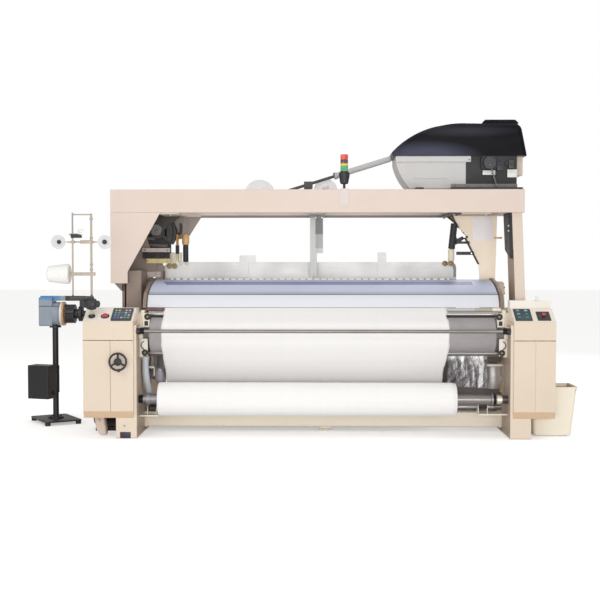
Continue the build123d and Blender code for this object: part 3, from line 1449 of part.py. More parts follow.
curtain_x = (frame_inner - 432.0, frame_inner - 122.0)
curtain_t = 2.0
curtain_drop = 262.0


def plastic_curtain():
    """Clear splash curtain hooked over the tray's front lip."""
    y1 = tray_y[0] - seat_gap
    top = tray_z[1] - 30
    return block(*curtain_x, y1 - curtain_t, y1, top - curtain_drop, top)


def save(name, shape):
    export_step(shape, f"parts/{name}.step")


def paired(shape_for):
    return Compound(children=[shape_for(1), shape_for(-1)])


def console_with_bores(shell, spots):
    """Adds the guide boss of each push button and bores it."""
    for x, up in spots:
        place = on_slope(x, up).location
        boss = Pos(0, 0, -button_bore_depth) * standing(button_bore_r + 6, button_bore_depth - 0.5)
        shell = shell + place * boss - place * Cylinder(button_bore_r + run_gap, 4 * button_bore_depth)
    return shell


right_frame = side_frame()
left_frame = mirrored(right_frame)
wheel_bore = bar_y(handwheel_shaft_r + run_gap, frame_front - 1, frame_front + 42, handwheel_x, handwheel_z)
save("right_side_frame", right_frame)
save("left_side_frame", left_frame - wheel_bore)
save("cross_beams", Compound(children=[front_lower_beam(), cross_beam(*rear_beam_box, 8), breast_beam()]))

left_shell = console_shell(left_console_out, -1, 0, 0, 0.0)
left_shell = console_with_bores(left_shell, [(e_stop_x, e_stop_up)])
left_shell -= bar_y(handwheel_shaft_r + 4, console_front - 1, console_front + 9, handwheel_x, handwheel_z)
pole_hole = bar_z(8 + seat_gap, 800, 1000, creel_x, creel_y)
save("left_console", left_shell - pole_hole)
right_shell = console_shell(right_console_out, 1, console_step_z, console_step_y, ledge_rise)
save("right_console", console_with_bores(right_shell, [(stop_x, stop_up)]))
save("console_panels", console_panels())
save("handwheel", handwheel())
save("touch_screen", touch_screen())
save("keypad", keypad())
save("emergency_button", push_button(e_stop_x, e_stop_up, 20.0, cap_clear))
save("stop_button", push_button(stop_x, stop_up, button_r, keypad_t + cap_clear))

save("take_up_roller", take_up_roller())
save("upper_guide_roller", small_roller(upper_guide_axis))
save("press_roller", small_roller(press_axis))
save("roller_brackets", paired(roller_bracket))
save("front_rod", front_rod())
save("lower_guide_roller", guide_roller())
save("cloth_core", cloth_core())
save("cloth_wound", cloth_wound())
save("cloth_sheet", cloth_sheet())

save("warp_beam", warp_beam())
save("warp_wound", warp_wound())
save("back_rest_roller", back_rest_roller())
save("warp_sheet", warp_sheet())
save("sley", sley())
save("reed", reed())
for index in range(shaft_count):
    save(f"heald_frame_{index + 1}", heald_frame(index))
for letter, first in (("a", 0), ("b", 1)):
    save(f"left_levers_{letter}", lever_pair(1, left_lever_x, first))
    save(f"right_levers_{letter}", lever_pair(-1, right_lever_x, first))
left_casting = lever_bracket(1, left_lever_x) + left_lever_wall()
save("lever_brackets", Compound(children=[left_casting, lever_bracket(-1, right_lever_x)]))

save("gantry_beams", Compound(children=[gantry_beam(front_beam_y), gantry_beam(rear_beam_y)]))
save("left_arch_cover", left_arch_cover())
save("left_arch_post", left_arch_post())
save("right_arch_panel", right_arch_panel())
save("right_outer_post", right_outer_post())
save("cable_duct", cable_duct())
save("centre_hanger", centre_hanger())
save("splash_hood", splash_hood())
save("hood_brackets", paired(hood_bracket))
save("dobby_hood", dobby_hood())
save("dobby_casing", dobby_casing())
save("dobby_drive_box", dobby_drive_box())
save("harness_tube", harness_tube())
save("signal_tower", signal_tower())
save("signal_lenses", signal_lenses())

save("feeder_stand", feeder_stand())
save("feeder_body", feeder_body())
save("feeder_ring", feeder_ring())
save("creel_frame", creel_frame())
save("yarn_cone", yarn_cone())
save("waste_bin", waste_bin())
save("main_motor", main_motor())
save("water_hose", water_hose())
save("drip_tray", drip_tray())
save("plastic_curtain", plastic_curtain())
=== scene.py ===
import bpy, bmesh, random
from math import asin, atan2, cos, pi, radians, sin
from mathutils import Matrix, Vector


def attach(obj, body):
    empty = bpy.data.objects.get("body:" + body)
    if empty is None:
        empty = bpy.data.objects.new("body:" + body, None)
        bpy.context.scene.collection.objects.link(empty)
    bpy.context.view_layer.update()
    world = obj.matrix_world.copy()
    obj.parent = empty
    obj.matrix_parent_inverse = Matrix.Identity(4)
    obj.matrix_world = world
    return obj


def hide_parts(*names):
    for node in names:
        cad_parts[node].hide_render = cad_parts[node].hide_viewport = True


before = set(bpy.data.objects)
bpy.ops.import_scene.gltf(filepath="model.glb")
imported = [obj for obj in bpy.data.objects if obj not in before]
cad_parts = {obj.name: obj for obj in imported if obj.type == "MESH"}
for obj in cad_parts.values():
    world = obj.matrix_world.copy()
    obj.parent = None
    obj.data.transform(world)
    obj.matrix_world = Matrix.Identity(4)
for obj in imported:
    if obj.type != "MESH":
        bpy.data.objects.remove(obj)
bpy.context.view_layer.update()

nodeObjects = {name: bpy.data.objects[name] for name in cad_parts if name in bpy.data.objects}
print("frame loaded,", len(nodeObjects), "nodes")


# camera, floor and light
studio = {
    "eye": (-0.036, -8.80, 1.33), "pitchDown": 2.09, "yawLeft": 0.963, "focalPixels": 1083,
    "framePixels": 600,
    "floorColor": (0.93, 0.925, 0.915), "floorGlow": 0.405, "skyLight": 0.56,
    "keyWatts": 80, "frontWatts": 208, "rimWatts": 90, "topWatts": 40, "fillWatts": 34,
}


def aimedLamp(name, place, target, size, watts, color=(1, 1, 1)):
    lamp = bpy.data.lights.new(name, "AREA")
    lamp.shape, lamp.size, lamp.size_y = "RECTANGLE", size[0], size[1]
    lamp.energy, lamp.color = watts, color
    holder = bpy.data.objects.new(name, lamp)
    holder.location = place
    holder.rotation_euler = (Vector(target) - Vector(place)).to_track_quat("-Z", "Y").to_euler()
    bpy.context.scene.collection.objects.link(holder)
    return holder


def buildStudio(s):
    camera = bpy.data.cameras.new("photoCamera")
    camera.lens = 36 * s["focalPixels"] / s["framePixels"]  # sensor stays 36 mm wide
    camera.clip_end = 60
    holder = bpy.data.objects.new("photoCamera", camera)
    holder.location = s["eye"]
    holder.rotation_euler = (radians(90 - s["pitchDown"]), 0, radians(s["yawLeft"]))
    bpy.context.scene.collection.objects.link(holder)
    bpy.context.scene.camera = holder

    aimedLamp("keyLamp", (-4.2, -6.0, 4.6), (0, -0.4, 0.9), (3.4, 2.4), s["keyWatts"], (1, 0.985, 0.96))
    aimedLamp("frontLamp", (0.6, -9.6, 1.5), (0.0, -0.4, 0.9), (7.0, 2.4), s["frontWatts"])
    aimedLamp("rimLamp", (2.6, 4.8, 4.4), (0, 0, 1.2), (3.0, 2.0), s["rimWatts"])
    aimedLamp("topLamp", (0, -1.0, 5.6), (0, 0, 0.8), (5.0, 2.5), s["topWatts"])

    aimedLamp("fillLamp", (0, -5.2, 0.45), (0, -0.3, 0.5), (6.0, 0.7), s["fillWatts"])

    world = bpy.data.worlds.new("studioWorld")
    bpy.context.scene.world = world
    world.use_nodes = True
    tree = world.node_tree
    sky = tree.nodes["Background"]
    sky.inputs["Color"].default_value = (1, 0.995, 0.985, 1)
    sky.inputs["Strength"].default_value = s["skyLight"]
    seen = tree.nodes.new("ShaderNodeBackground")  # what the camera and clear things look at
    seen.inputs["Color"].default_value = (1, 1, 1, 1)
    seen.inputs["Strength"].default_value = 1
    path = tree.nodes.new("ShaderNodeLightPath")
    either = tree.nodes.new("ShaderNodeMath")
    either.operation = "MAXIMUM"
    tree.links.new(path.outputs["Is Camera Ray"], either.inputs[0])
    tree.links.new(path.outputs["Is Transmission Ray"], either.inputs[1])
    choose = tree.nodes.new("ShaderNodeMixShader")
    tree.links.new(either.outputs[0], choose.inputs[0])
    tree.links.new(sky.outputs[0], choose.inputs[1])
    tree.links.new(seen.outputs[0], choose.inputs[2])
    tree.links.new(choose.outputs[0], tree.nodes["World Output"].inputs["Surface"])

    mesh = bpy.data.meshes.new("studioFloor")
    mesh.from_pydata([(-30, -14, 0), (30, -14, 0), (30, 40, 0), (-30, 40, 0)], [], [(0, 1, 2, 3)])
    ground = bpy.data.objects.new("studioFloor", mesh)
    bpy.context.scene.collection.objects.link(ground)
    paint = bpy.data.materials.new("studioFloorPaint")
    paint.use_nodes = True
    tree = paint.node_tree
    surface = tree.nodes["Principled BSDF"]
    surface.inputs["Base Color"].default_value = (*s["floorColor"], 1)
    surface.inputs["Roughness"].default_value = 0.9
    surface.inputs["Specular IOR Level"].default_value = 0.1
    glow = tree.nodes.new("ShaderNodeEmission")
    glow.inputs["Strength"].default_value = s["floorGlow"]
    path = tree.nodes.new("ShaderNodeLightPath")
    gate = tree.nodes.new("ShaderNodeMixShader")
    hide = tree.nodes.new("ShaderNodeEmission")
    hide.inputs["Strength"].default_value = 0
    tree.links.new(path.outputs["Is Camera Ray"], gate.inputs[0])
    tree.links.new(hide.outputs[0], gate.inputs[1])
    tree.links.new(glow.outputs[0], gate.inputs[2])
    both = tree.nodes.new("ShaderNodeAddShader")
    tree.links.new(surface.outputs[0], both.inputs[0])
    tree.links.new(gate.outputs[0], both.inputs[1])
    tree.links.new(both.outputs[0], tree.nodes["Material Output"].inputs["Surface"])
    mesh.materials.append(paint)

    bpy.context.scene.view_settings.view_transform = "Standard"


buildStudio(studio)
print("camera, floor and light ready")


finishes = {}  # every material by its name


def zone(color, x=(None, None), y=(None, None), z=(None, None)):
    # a box of the shared frame with a color of its own, or with painted shade or a painted highlight; None
    # leaves a side open
    return tuple(zip(x, y, z)) + (color,)


class NodeKit:
    # a material's tree with short ways to add and join nodes
    def __init__(self, name):
        self.material = bpy.data.materials.new(name)
        self.material.use_nodes = True
        self.tree = self.material.node_tree
        self.shader = self.tree.nodes["Principled BSDF"]

    def add(self, kind, settings=None, **inputs):
        node = self.tree.nodes.new("ShaderNode" + kind)
        for key, value in (settings or {}).items():
            setattr(node, key, value)
        for key, value in inputs.items():
            numbered = key[0] == "i" and key[1:].isdigit()
            socket = node.inputs[int(key[1:]) if numbered else key.replace("_", " ")]
            self.feed(socket, value)
        return node

    def feed(self, socket, value):
        if isinstance(value, bpy.types.NodeSocket):
            self.tree.links.new(value, socket)
        elif isinstance(value, (tuple, list)) and len(value) == 3 and socket.type == "RGBA":
            socket.default_value = (*value, 1)
        else:
            socket.default_value = value

    def place(self, scale=(1, 1, 1), source="Object"):
        # object coordinates are metres in the shared frame
        return self.add("Mapping", Vector=self.add("TexCoord").outputs[source], Scale=scale).outputs[0]

    def noise(self, scale, detail=3.0, stretch=(1, 1, 1), rough=0.5):
        node = self.add("TexNoise", Vector=self.place(stretch), Scale=scale, Detail=detail, Roughness=rough)
        return node.outputs["Fac"]

    def remap(self, value, low, high, toLow=0.0, toHigh=1.0):
        node = self.add("MapRange", Value=value)
        for spot, amount in zip((1, 2, 3, 4), (low, high, toLow, toHigh)):
            node.inputs[spot].default_value = amount
        return node.outputs[0]

    def math(self, kind, a, b=0.0):
        return self.add("Math", {"operation": kind}, i0=a, i1=b).outputs[0]

    def times(self, a, b):
        return self.math("MULTIPLY", a, b)

    def ramp(self, value, places, steps=False):
        node = self.add("ValToRGB", Fac=value)
        if steps:
            node.color_ramp.interpolation = "CONSTANT"
        stops = node.color_ramp.elements
        while len(stops) < len(places):
            stops.new(0.5)
        for stop, (at, color) in zip(stops, places):
            stop.position, stop.color = at, (*color, 1)
        return node.outputs[0]

    def blend(self, share, a, b):
        node = self.add("Mix", {"data_type": "RGBA"})
        self.feed(node.inputs[0], share)
        self.feed(node.inputs[6], a)
        self.feed(node.inputs[7], b)
        return node.outputs[2]

    def edgeShare(self, radius, low=0.02, high=0.25):
        # how near a point is to a sharp edge, from the bevelled normal
        soft = self.add("Bevel", {"samples": 4}, Radius=radius).outputs[0]
        flat = self.add("NewGeometry").outputs["True Normal"]
        dot = self.add("VectorMath", {"operation": "DOT_PRODUCT"}, i0=soft, i1=flat).outputs["Value"]
        return self.remap(self.math("SUBTRACT", 1.0, dot), low, high)

    def bump(self, height, strength, distance, under=None):
        node = self.add("Bump", Height=height, Strength=strength, Distance=distance)
        if under:
            self.tree.links.new(under, node.inputs["Normal"])
        return node.outputs[0]

    def inBox(self, low, high):
        # 1 inside a box of the shared frame, 0 outside it; None leaves a side open
        spot = self.add("SeparateXYZ", Vector=self.add("TexCoord").outputs["Object"])
        share = 1.0
        for kind, corner in (("GREATER_THAN", low), ("LESS_THAN", high)):
            for axis, limit in enumerate(corner):
                if limit is not None:
                    share = self.times(share, self.math(kind, spot.outputs[axis], limit))
        return share

    def zoned(self, tone, zones):
        for low, high, color in zones:
            tone = self.blend(self.inBox(low, high), tone, color)
        return tone

    def glowSpot(self, centre, radii):
        # 1 at the centre of an ellipsoid, falling to 0 at its skin
        scale = tuple(1 / r for r in radii)
        shift = tuple(-c / r for c, r in zip(centre, radii))
        place = self.add("Mapping", Vector=self.add("TexCoord").outputs["Object"], Scale=scale,
                         Location=shift)
        return self.add("TexGradient", {"gradient_type": "SPHERICAL"}, Vector=place.outputs[0]).outputs[1]

    def roundEdges(self, radius):
        return self.add("Bevel", {"samples": 4}, Radius=radius).outputs[0]

    def done(self, **sockets):
        for key, value in sockets.items():
            self.feed(self.shader.inputs[key.replace("_", " ")], value)
        finishes[self.material.name] = self.material


def paintFinish(name, color, shade, rough=0.42, round=0.002, worn=None, grime=0.5, zones=()):
    # sprayed machine enamel: soft tone changes, orange peel, rubbed edges
    kit = NodeKit(name)
    cloudy = kit.remap(kit.noise(1.7, 4), 0.35, 0.7)
    tone = kit.zoned(kit.blend(kit.times(cloudy, 0.35 * grime + 0.1), color, shade), zones)
    streak = kit.remap(kit.noise(5.0, 5, (1.6, 1.6, 0.22), 0.6), 0.55, 0.8)
    tone = kit.blend(kit.times(streak, 0.4 * grime), tone, shade)
    edge = kit.times(kit.edgeShare(round * 1.6), kit.remap(kit.noise(38, 3), 0.42, 0.62))
    tone = kit.blend(kit.times(edge, 0.55), tone, worn or tuple(min(1, c * 1.25 + 0.05) for c in color))
    peel = kit.bump(kit.noise(260, 2), 0.10, 0.0006, kit.roundEdges(round))
    roughness = kit.remap(kit.noise(9, 4), 0.3, 0.7, rough - 0.05, rough + 0.09)
    kit.done(Base_Color=tone, Roughness=roughness, Normal=peel)


def metalFinish(name, color, rough=0.28, along=(0.02, 1, 1), shade=None, metallic=1.0, round=0.0012,
                zones=()):
    # turned or drawn metal: fine lines along one way, darker film in places
    kit = NodeKit(name)
    lines = kit.noise(240, 4, along, 0.62)
    film = kit.remap(kit.noise(3.2, 5), 0.4, 0.75)
    tone = kit.blend(kit.times(film, 0.45), color, shade or tuple(c * 0.62 for c in color))
    tone = kit.zoned(tone, zones)
    roughness = kit.math("ADD", kit.remap(lines, 0.3, 0.7, rough - 0.07, rough + 0.08), kit.times(film, 0.1))
    normal = kit.bump(lines, 0.12, 0.0004, kit.roundEdges(round))
    kit.done(Base_Color=tone, Roughness=roughness, Normal=normal, Metallic=metallic)


def plasticFinish(name, color, rough=0.5, grain=0.25, shade=None, gloss=0.0, round=0.0015, zones=()):
    # moulded plastic: fine spark-eroded grain and a little dust
    kit = NodeKit(name)
    dust = kit.remap(kit.noise(2.6, 5), 0.42, 0.8)
    tone = kit.blend(kit.times(dust, 0.4), color, shade or tuple(min(1, c * 1.3 + 0.03) for c in color))
    tone = kit.zoned(tone, zones)
    normal = kit.bump(kit.noise(900, 2), grain, 0.0003, kit.roundEdges(round))
    roughness = kit.remap(kit.noise(14, 3), 0.3, 0.7, rough - 0.05, rough + 0.07)
    kit.done(Base_Color=tone, Roughness=roughness, Normal=normal, Coat_Weight=gloss, Coat_Roughness=0.06)


def rubberFinish(name, color, shade, rough=0.7):
    kit = NodeKit(name)
    patch = kit.remap(kit.noise(6, 5), 0.35, 0.7)
    speck = kit.remap(kit.noise(140, 2), 0.5, 0.75)
    tone = kit.blend(kit.times(patch, 0.5), color, shade)
    tone = kit.blend(kit.times(speck, 0.3), tone, tuple(c * 1.5 for c in color))
    normal = kit.bump(kit.noise(420, 3), 0.3, 0.0006, kit.roundEdges(0.0015))
    kit.done(Base_Color=tone, Roughness=kit.remap(patch, 0, 1, rough - 0.1, rough + 0.08), Normal=normal)


def glossCover():
    # black lacquered cover with a painted blue-grey sheen, a painted reflection broad and low on its left and
    # thinner along the top
    kit = NodeKit("glossBlack")
    # painted reflections: blue-grey spots low on the left and along the top
    low = kit.remap(kit.glowSpot((0.84, -0.06, 2.165), (0.46, 0.5, 0.13)), 0.0, 0.6)
    high = kit.remap(kit.glowSpot((1.15, -0.2, 2.37), (0.46, 0.6, 0.06)), 0.0, 0.9)
    smear = kit.remap(kit.noise(3.5, 5, (0.5, 1, 1.6)), 0.35, 0.75)
    tone = kit.blend(kit.times(low, 0.9), (0.007, 0.007, 0.009), (0.075, 0.076, 0.125))
    tone = kit.blend(kit.times(high, 0.5), tone, (0.075, 0.078, 0.105))
    tone = kit.blend(kit.times(smear, 0.12), tone, (0.06, 0.06, 0.07))
    edge = kit.edgeShare(0.005)
    tone = kit.blend(kit.times(edge, 0.4), tone, (0.12, 0.12, 0.13))
    normal = kit.bump(kit.noise(700, 2), 0.03, 0.0003, kit.roundEdges(0.004))
    roughness = kit.remap(smear, 0, 1, 0.27, 0.36)
    kit.done(Base_Color=tone, Roughness=roughness, Normal=normal, Specular_IOR_Level=0.08,
             Coat_Weight=0.02, Coat_Roughness=0.1)


screenPlan = {
    "left": -1.567, "right": -1.439, "front": -0.776, "back": -0.663, "columns": 5, "rows": 4,
    "field": (0.030, 0.040, 0.075), "frame": (0.012, 0.014, 0.020), "fill": (0.70, 0.62), "gloss": 0.5,
    "colors": ((0.04, 0.40, 0.14), (0.55, 0.52, 0.10), (0.03, 0.33, 0.38), (0.05, 0.13, 0.50),
               (0.55, 0.58, 0.62), (0.02, 0.05, 0.10)),
}
keypadPlan = {
    "left": 1.427, "right": 1.547, "front": -0.772, "back": -0.652, "columns": 2, "rows": 3,
    "field": (0.010, 0.046, 0.056), "frame": (0.008, 0.036, 0.044), "fill": (0.46, 0.62), "gloss": 0.05,
    "colors": ((0.38, 0.55, 0.66), (0.66, 0.66, 0.48), (0.30, 0.34, 0.35), (0.05, 0.21, 0.23),
               (0.50, 0.62, 0.66), (0.05, 0.21, 0.23)),
    "zones": (zone((0.016, 0.016, 0.018), x=(1.570, None)),),
}


def buttonField(name, p):
    # a printed field of soft-edged marks in rows, each with a colour of its own
    kit = NodeKit(name)
    cell = ((p["right"] - p["left"]) / p["columns"], (p["back"] - p["front"]) / p["rows"])
    where = kit.add("Mapping", Vector=kit.add("TexCoord").outputs["Object"],
                    Scale=(1 / cell[0], 1 / cell[1], 0),
                    Location=(-p["left"] / cell[0], -p["front"] / cell[1], 0)).outputs[0]
    inside = kit.add("VectorMath", {"operation": "FRACTION"}, i0=where).outputs[0]
    which = kit.add("VectorMath", {"operation": "FLOOR"}, i0=where).outputs[0]
    spot = kit.add("SeparateXYZ", Vector=inside)
    mark = 1.0
    for axis in range(2):
        off = kit.math("ABSOLUTE", kit.math("SUBTRACT", spot.outputs[axis], 0.5))
        mark = kit.times(mark, kit.remap(off, p["fill"][axis] / 2, p["fill"][axis] / 2 - 0.10))
    draw = kit.add("TexWhiteNoise", {"noise_dimensions": "3D"}, Vector=which).outputs["Value"]
    pick = kit.ramp(draw, [(i / len(p["colors"]), color) for i, color in enumerate(p["colors"])], steps=True)
    field = kit.inBox((p["left"], p["front"], None), (p["right"], p["back"], None))
    tone = kit.blend(mark, p["field"], pick)
    tone = kit.zoned(kit.blend(field, p["frame"], tone), p.get("zones", ()))
    dust = kit.remap(kit.noise(9, 4), 0.4, 0.8)
    tone = kit.blend(kit.times(dust, 0.10), tone, (0.35, 0.35, 0.35))
    kit.done(Base_Color=tone, Roughness=kit.remap(dust, 0, 1, 0.28, 0.4), Coat_Weight=p["gloss"],
             Coat_Roughness=0.05, Normal=kit.roundEdges(0.0012))


paintFinish("machineBeige", (0.755, 0.64, 0.52), (0.66, 0.55, 0.42))
paintFinish("frameBeige", (0.755, 0.64, 0.52), (0.66, 0.55, 0.42), zones=(
    # painted shade: the inner faces of both side frames are coloured brown below 0.848 m
    zone((0.47, 0.375, 0.30), x=(-1.3915, -1.3865), y=(-0.773, None), z=(0.012, 0.848)),
    zone((0.47, 0.375, 0.30), x=(1.3865, 1.3915), y=(-0.773, None), z=(0.012, 0.848)),
))
paintFinish("consoleBeige", (0.735, 0.62, 0.498), (0.65, 0.535, 0.405), zones=(
    zone((0.86, 0.80, 0.74), z=(0.9745, None)),
    # painted light: the sloping top of each console is coloured lighter than the rest of the console
    zone((0.88, 0.80, 0.71), y=(-0.7985, None), z=(0.8775, 0.9745)),
    zone((0.66, 0.48, 0.31), z=(None, 0.2055)),
    zone((0.20, 0.125, 0.08), y=(-0.801, -0.790), z=(0.7335, 0.7395)),
    zone((0.52, 0.40, 0.29), x=(-1.5835, -1.5785), y=(-0.801, -0.790), z=(0.20, 0.7335)),
))
# painted light: the cross beams are coloured far lighter than the machine beige to make up for the shade
# under the cloth roll
paintFinish("beamBeige", (0.95, 0.85, 0.71), (0.87, 0.76, 0.61), zones=(
    zone((0.55, 0.53, 0.51), x=(0.950, 1.165), y=(-0.50, -0.43), z=(0.925, 0.97)),
    zone((0.46, 0.44, 0.33), x=(1.165, 1.300), y=(-0.50, -0.43), z=(0.925, 0.97)),
    zone((0.15, 0.075, 0.065), x=(-1.400, -1.215), y=(-0.50, -0.43), z=(0.925, 0.97)),
))
paintFinish("creelTan", (0.47, 0.40, 0.32), (0.40, 0.33, 0.25), rough=0.35, zones=(
    zone((0.66, 0.665, 0.66), x=(-1.690, -1.570), z=(1.41, 1.53)),
    zone((0.66, 0.665, 0.66), x=(-2.030, -1.910), z=(1.41, 1.53)),
    zone((0.34, 0.33, 0.32), x=(-1.90, -1.85), z=(1.53, None)),
    zone((0.05, 0.05, 0.055), z=(0.965, 1.075)),
    zone((0.035, 0.03, 0.03), z=(None, 0.928)),
))
paintFinish("bracketCream", (0.84, 0.785, 0.67), (0.68, 0.61, 0.48), rough=0.38, zones=(
    zone((0.022, 0.021, 0.022), y=(None, -0.733)),))
metalFinish("rodSteel", (0.30, 0.275, 0.255), rough=0.33, along=(1, 0.05, 0.05), zones=(
    zone((0.02, 0.02, 0.021), x=(1.333, None)),
    zone((0.02, 0.02, 0.021), x=(None, -1.333)),
))
metalFinish("coreSteel", (0.31, 0.29, 0.275), rough=0.36, along=(1, 0.05, 0.05), metallic=0.8, zones=(
    zone((0.018, 0.016, 0.017), x=(1.276, 1.2987)),
    zone((0.80, 0.76, 0.62), x=(1.306, 1.344)),
    zone((0.10, 0.09, 0.09), x=(1.344, None)),
    zone((0.30, 0.28, 0.31), x=(-1.344, -1.239)),
    zone((0.016, 0.015, 0.016), x=(None, -1.356)),
))
plasticFinish("towerBlack", (0.020, 0.018, 0.024), rough=0.45, zones=(
    zone((0.70, 0.63, 0.61), z=(None, 1.893)),))
paintFinish("paleBeige", (0.725, 0.608, 0.532), (0.67, 0.55, 0.46), rough=0.46)
# painted light: the recessed arch panel is coloured lighter than the machine beige to make up for the shade
# under the beams
paintFinish("panelTan", (0.96, 0.83, 0.68), (0.92, 0.78, 0.60), grime=0.3)
paintFinish("recessBrown", (0.27, 0.20, 0.155), (0.17, 0.12, 0.095), rough=0.55, grime=0.8)
paintFinish("creamPlate", (0.83, 0.785, 0.69), (0.66, 0.60, 0.44), rough=0.38)
paintFinish("casingGrey", (0.62, 0.61, 0.60), (0.50, 0.49, 0.48), rough=0.35)
paintFinish("machineBlack", (0.012, 0.0115, 0.013), (0.032, 0.030, 0.029), rough=0.4, worn=(0.16, 0.15, 0.14))
# painted shade: the recessed arch post is coloured dark brown for the shadow it stands in; its zones are real
# plates, a black band, a yellow bar and a strip
paintFinish("archPost", (0.315, 0.245, 0.205), (0.17, 0.12, 0.095), rough=0.55, grime=0.8, zones=(
    zone((0.60, 0.50, 0.45), x=(-1.49, -1.24), y=(0.055, 0.0895), z=(1.3985, 1.440)),
    zone((0.018, 0.017, 0.018), x=(-1.49, -1.24), y=(0.055, 0.0895), z=(1.3445, 1.3985)),
    zone((0.74, 0.60, 0.28), x=(-1.49, -1.24), y=(0.055, 0.0895), z=(1.300, 1.3445)),
    zone((0.58, 0.52, 0.48), x=(-1.48, -1.32), y=(0.070, 0.0895), z=(1.185, 1.245)),
))
paintFinish("outerPost", (0.735, 0.62, 0.52), (0.66, 0.55, 0.44), rough=0.46, zones=(
    zone((0.40, 0.30, 0.225), x=(None, 1.4825), z=(None, 1.42)),
))
paintFinish("mechanismDark", (0.040, 0.034, 0.030), (0.10, 0.085, 0.06), rough=0.5, grime=0.9,
                             worn=(0.22, 0.20, 0.17), zones=(
                                 zone((0.36, 0.30, 0.265), x=(-1.238, -0.90), y=(0.20, None)),
                                 zone((0.13, 0.13, 0.125), x=(-1.56, -1.47), z=(1.47, 1.53)),
                                 # painted highlight: pale top edge of the left lever casting under the beam
                                 zone((0.60, 0.54, 0.42), x=(-1.300, -0.90), z=(1.6925, None)),
                                 zone((0.52, 0.43, 0.34), x=(1.085, None), z=(1.6925, None)),
                                 zone((0.16, 0.105, 0.05), x=(1.00, 1.20), y=(None, 0.125), z=(1.60, 1.6925)),
                             ))
paintFinish("driveBlack", (0.009, 0.0085, 0.0095), (0.026, 0.024, 0.023), rough=0.42,
                          worn=(0.14, 0.13, 0.12), zones=(
                              zone((0.74, 0.64, 0.53), x=(1.562, None)),))
paintFinish("tubeGrey", (0.060, 0.060, 0.062), (0.10, 0.10, 0.10), rough=0.4, zones=(
    zone((0.50, 0.495, 0.49), x=(0.10, None)),
))
paintFinish("beamGrey", (0.42, 0.43, 0.44), (0.30, 0.30, 0.31), rough=0.4)
metalFinish("brightSteel", (0.74, 0.73, 0.72))
metalFinish("turnedSteel", (0.42, 0.405, 0.40), rough=0.30, along=(1, 0.05, 0.05))
metalFinish("shaftMetal", (0.70, 0.69, 0.68), rough=0.5, metallic=0.35, zones=(
    zone((0.70, 0.62, 0.40), x=(-1.225, -1.185), z=(1.325, 1.385)),
    zone((0.035, 0.04, 0.055), x=(-1.225, -1.185), z=(1.385, 1.455)),
    zone((0.62, 0.33, 0.10), x=(-1.225, -1.185), z=(1.455, 1.545)),
    zone((0.03, 0.03, 0.032), x=(-1.225, -1.185), z=(1.545, None)),
    zone((0.035, 0.035, 0.04), x=(1.045, 1.085), z=(1.325, None)),
))
metalFinish("brass", (0.27, 0.20, 0.105), rough=0.5, metallic=0.6)
paintFinish("hangerGrey", (0.60, 0.615, 0.585), (0.50, 0.51, 0.49), rough=0.42, grime=0.3, zones=(
    zone((0.205, 0.205, 0.20), x=(-0.0595, None), z=(1.545, None)),
    zone((0.44, 0.44, 0.43), x=(-0.0595, None), z=(1.43, 1.545)),
    zone((0.30, 0.29, 0.28), z=(1.680, None)),
))
metalFinish("darkSteel", (0.17, 0.165, 0.165), rough=0.42, metallic=0.8)
rubberFinish("rollerRubber", (0.36, 0.335, 0.34), (0.27, 0.255, 0.26))
rubberFinish("hoseRubber", (0.60, 0.63, 0.68), (0.48, 0.51, 0.57), rough=0.5)
rubberFinish("blackRubber", (0.022, 0.021, 0.022), (0.05, 0.048, 0.046), rough=0.62)
glossCover()
plasticFinish("blackPlastic", (0.022, 0.022, 0.025), rough=0.5)
plasticFinish("redPlastic", (0.50, 0.028, 0.038), rough=0.3, grain=0.08, gloss=0.4)
buttonField("keypadTeal", keypadPlan)
buttonField("screenBlack", screenPlan)
plasticFinish("binPlastic", (0.93, 0.865, 0.73), rough=0.48, grain=0.18, shade=(0.87, 0.78, 0.62), zones=(
    zone((0.50, 0.36, 0.27), x=(1.5615, 1.9105), y=(-0.643, -0.3745), z=(0.345, 0.3885)),))
plasticFinish("feederBlue", (0.275, 0.32, 0.385), rough=0.36, grain=0.12, zones=(
    zone((0.10, 0.28, 0.55), x=(None, -2.150), z=(1.008, None)),
    zone((0.06, 0.07, 0.09), x=(None, -2.150), z=(0.9545, 0.9605)),
    zone((0.026, 0.026, 0.030), x=(-2.106, None)),
))
plasticFinish("feederRing", (0.76, 0.75, 0.73), rough=0.3, grain=0.05, gloss=0.3, zones=(
    zone((0.60, 0.36, 0.17), x=(-2.128, None)),))
plasticFinish("ringPlastic", (0.78, 0.77, 0.74), rough=0.3, grain=0.05, gloss=0.3)
rubberFinish("yarnWhite", (0.86, 0.85, 0.82), (0.78, 0.77, 0.74), rough=0.85)
print("basic finishes mixed:", len(finishes))


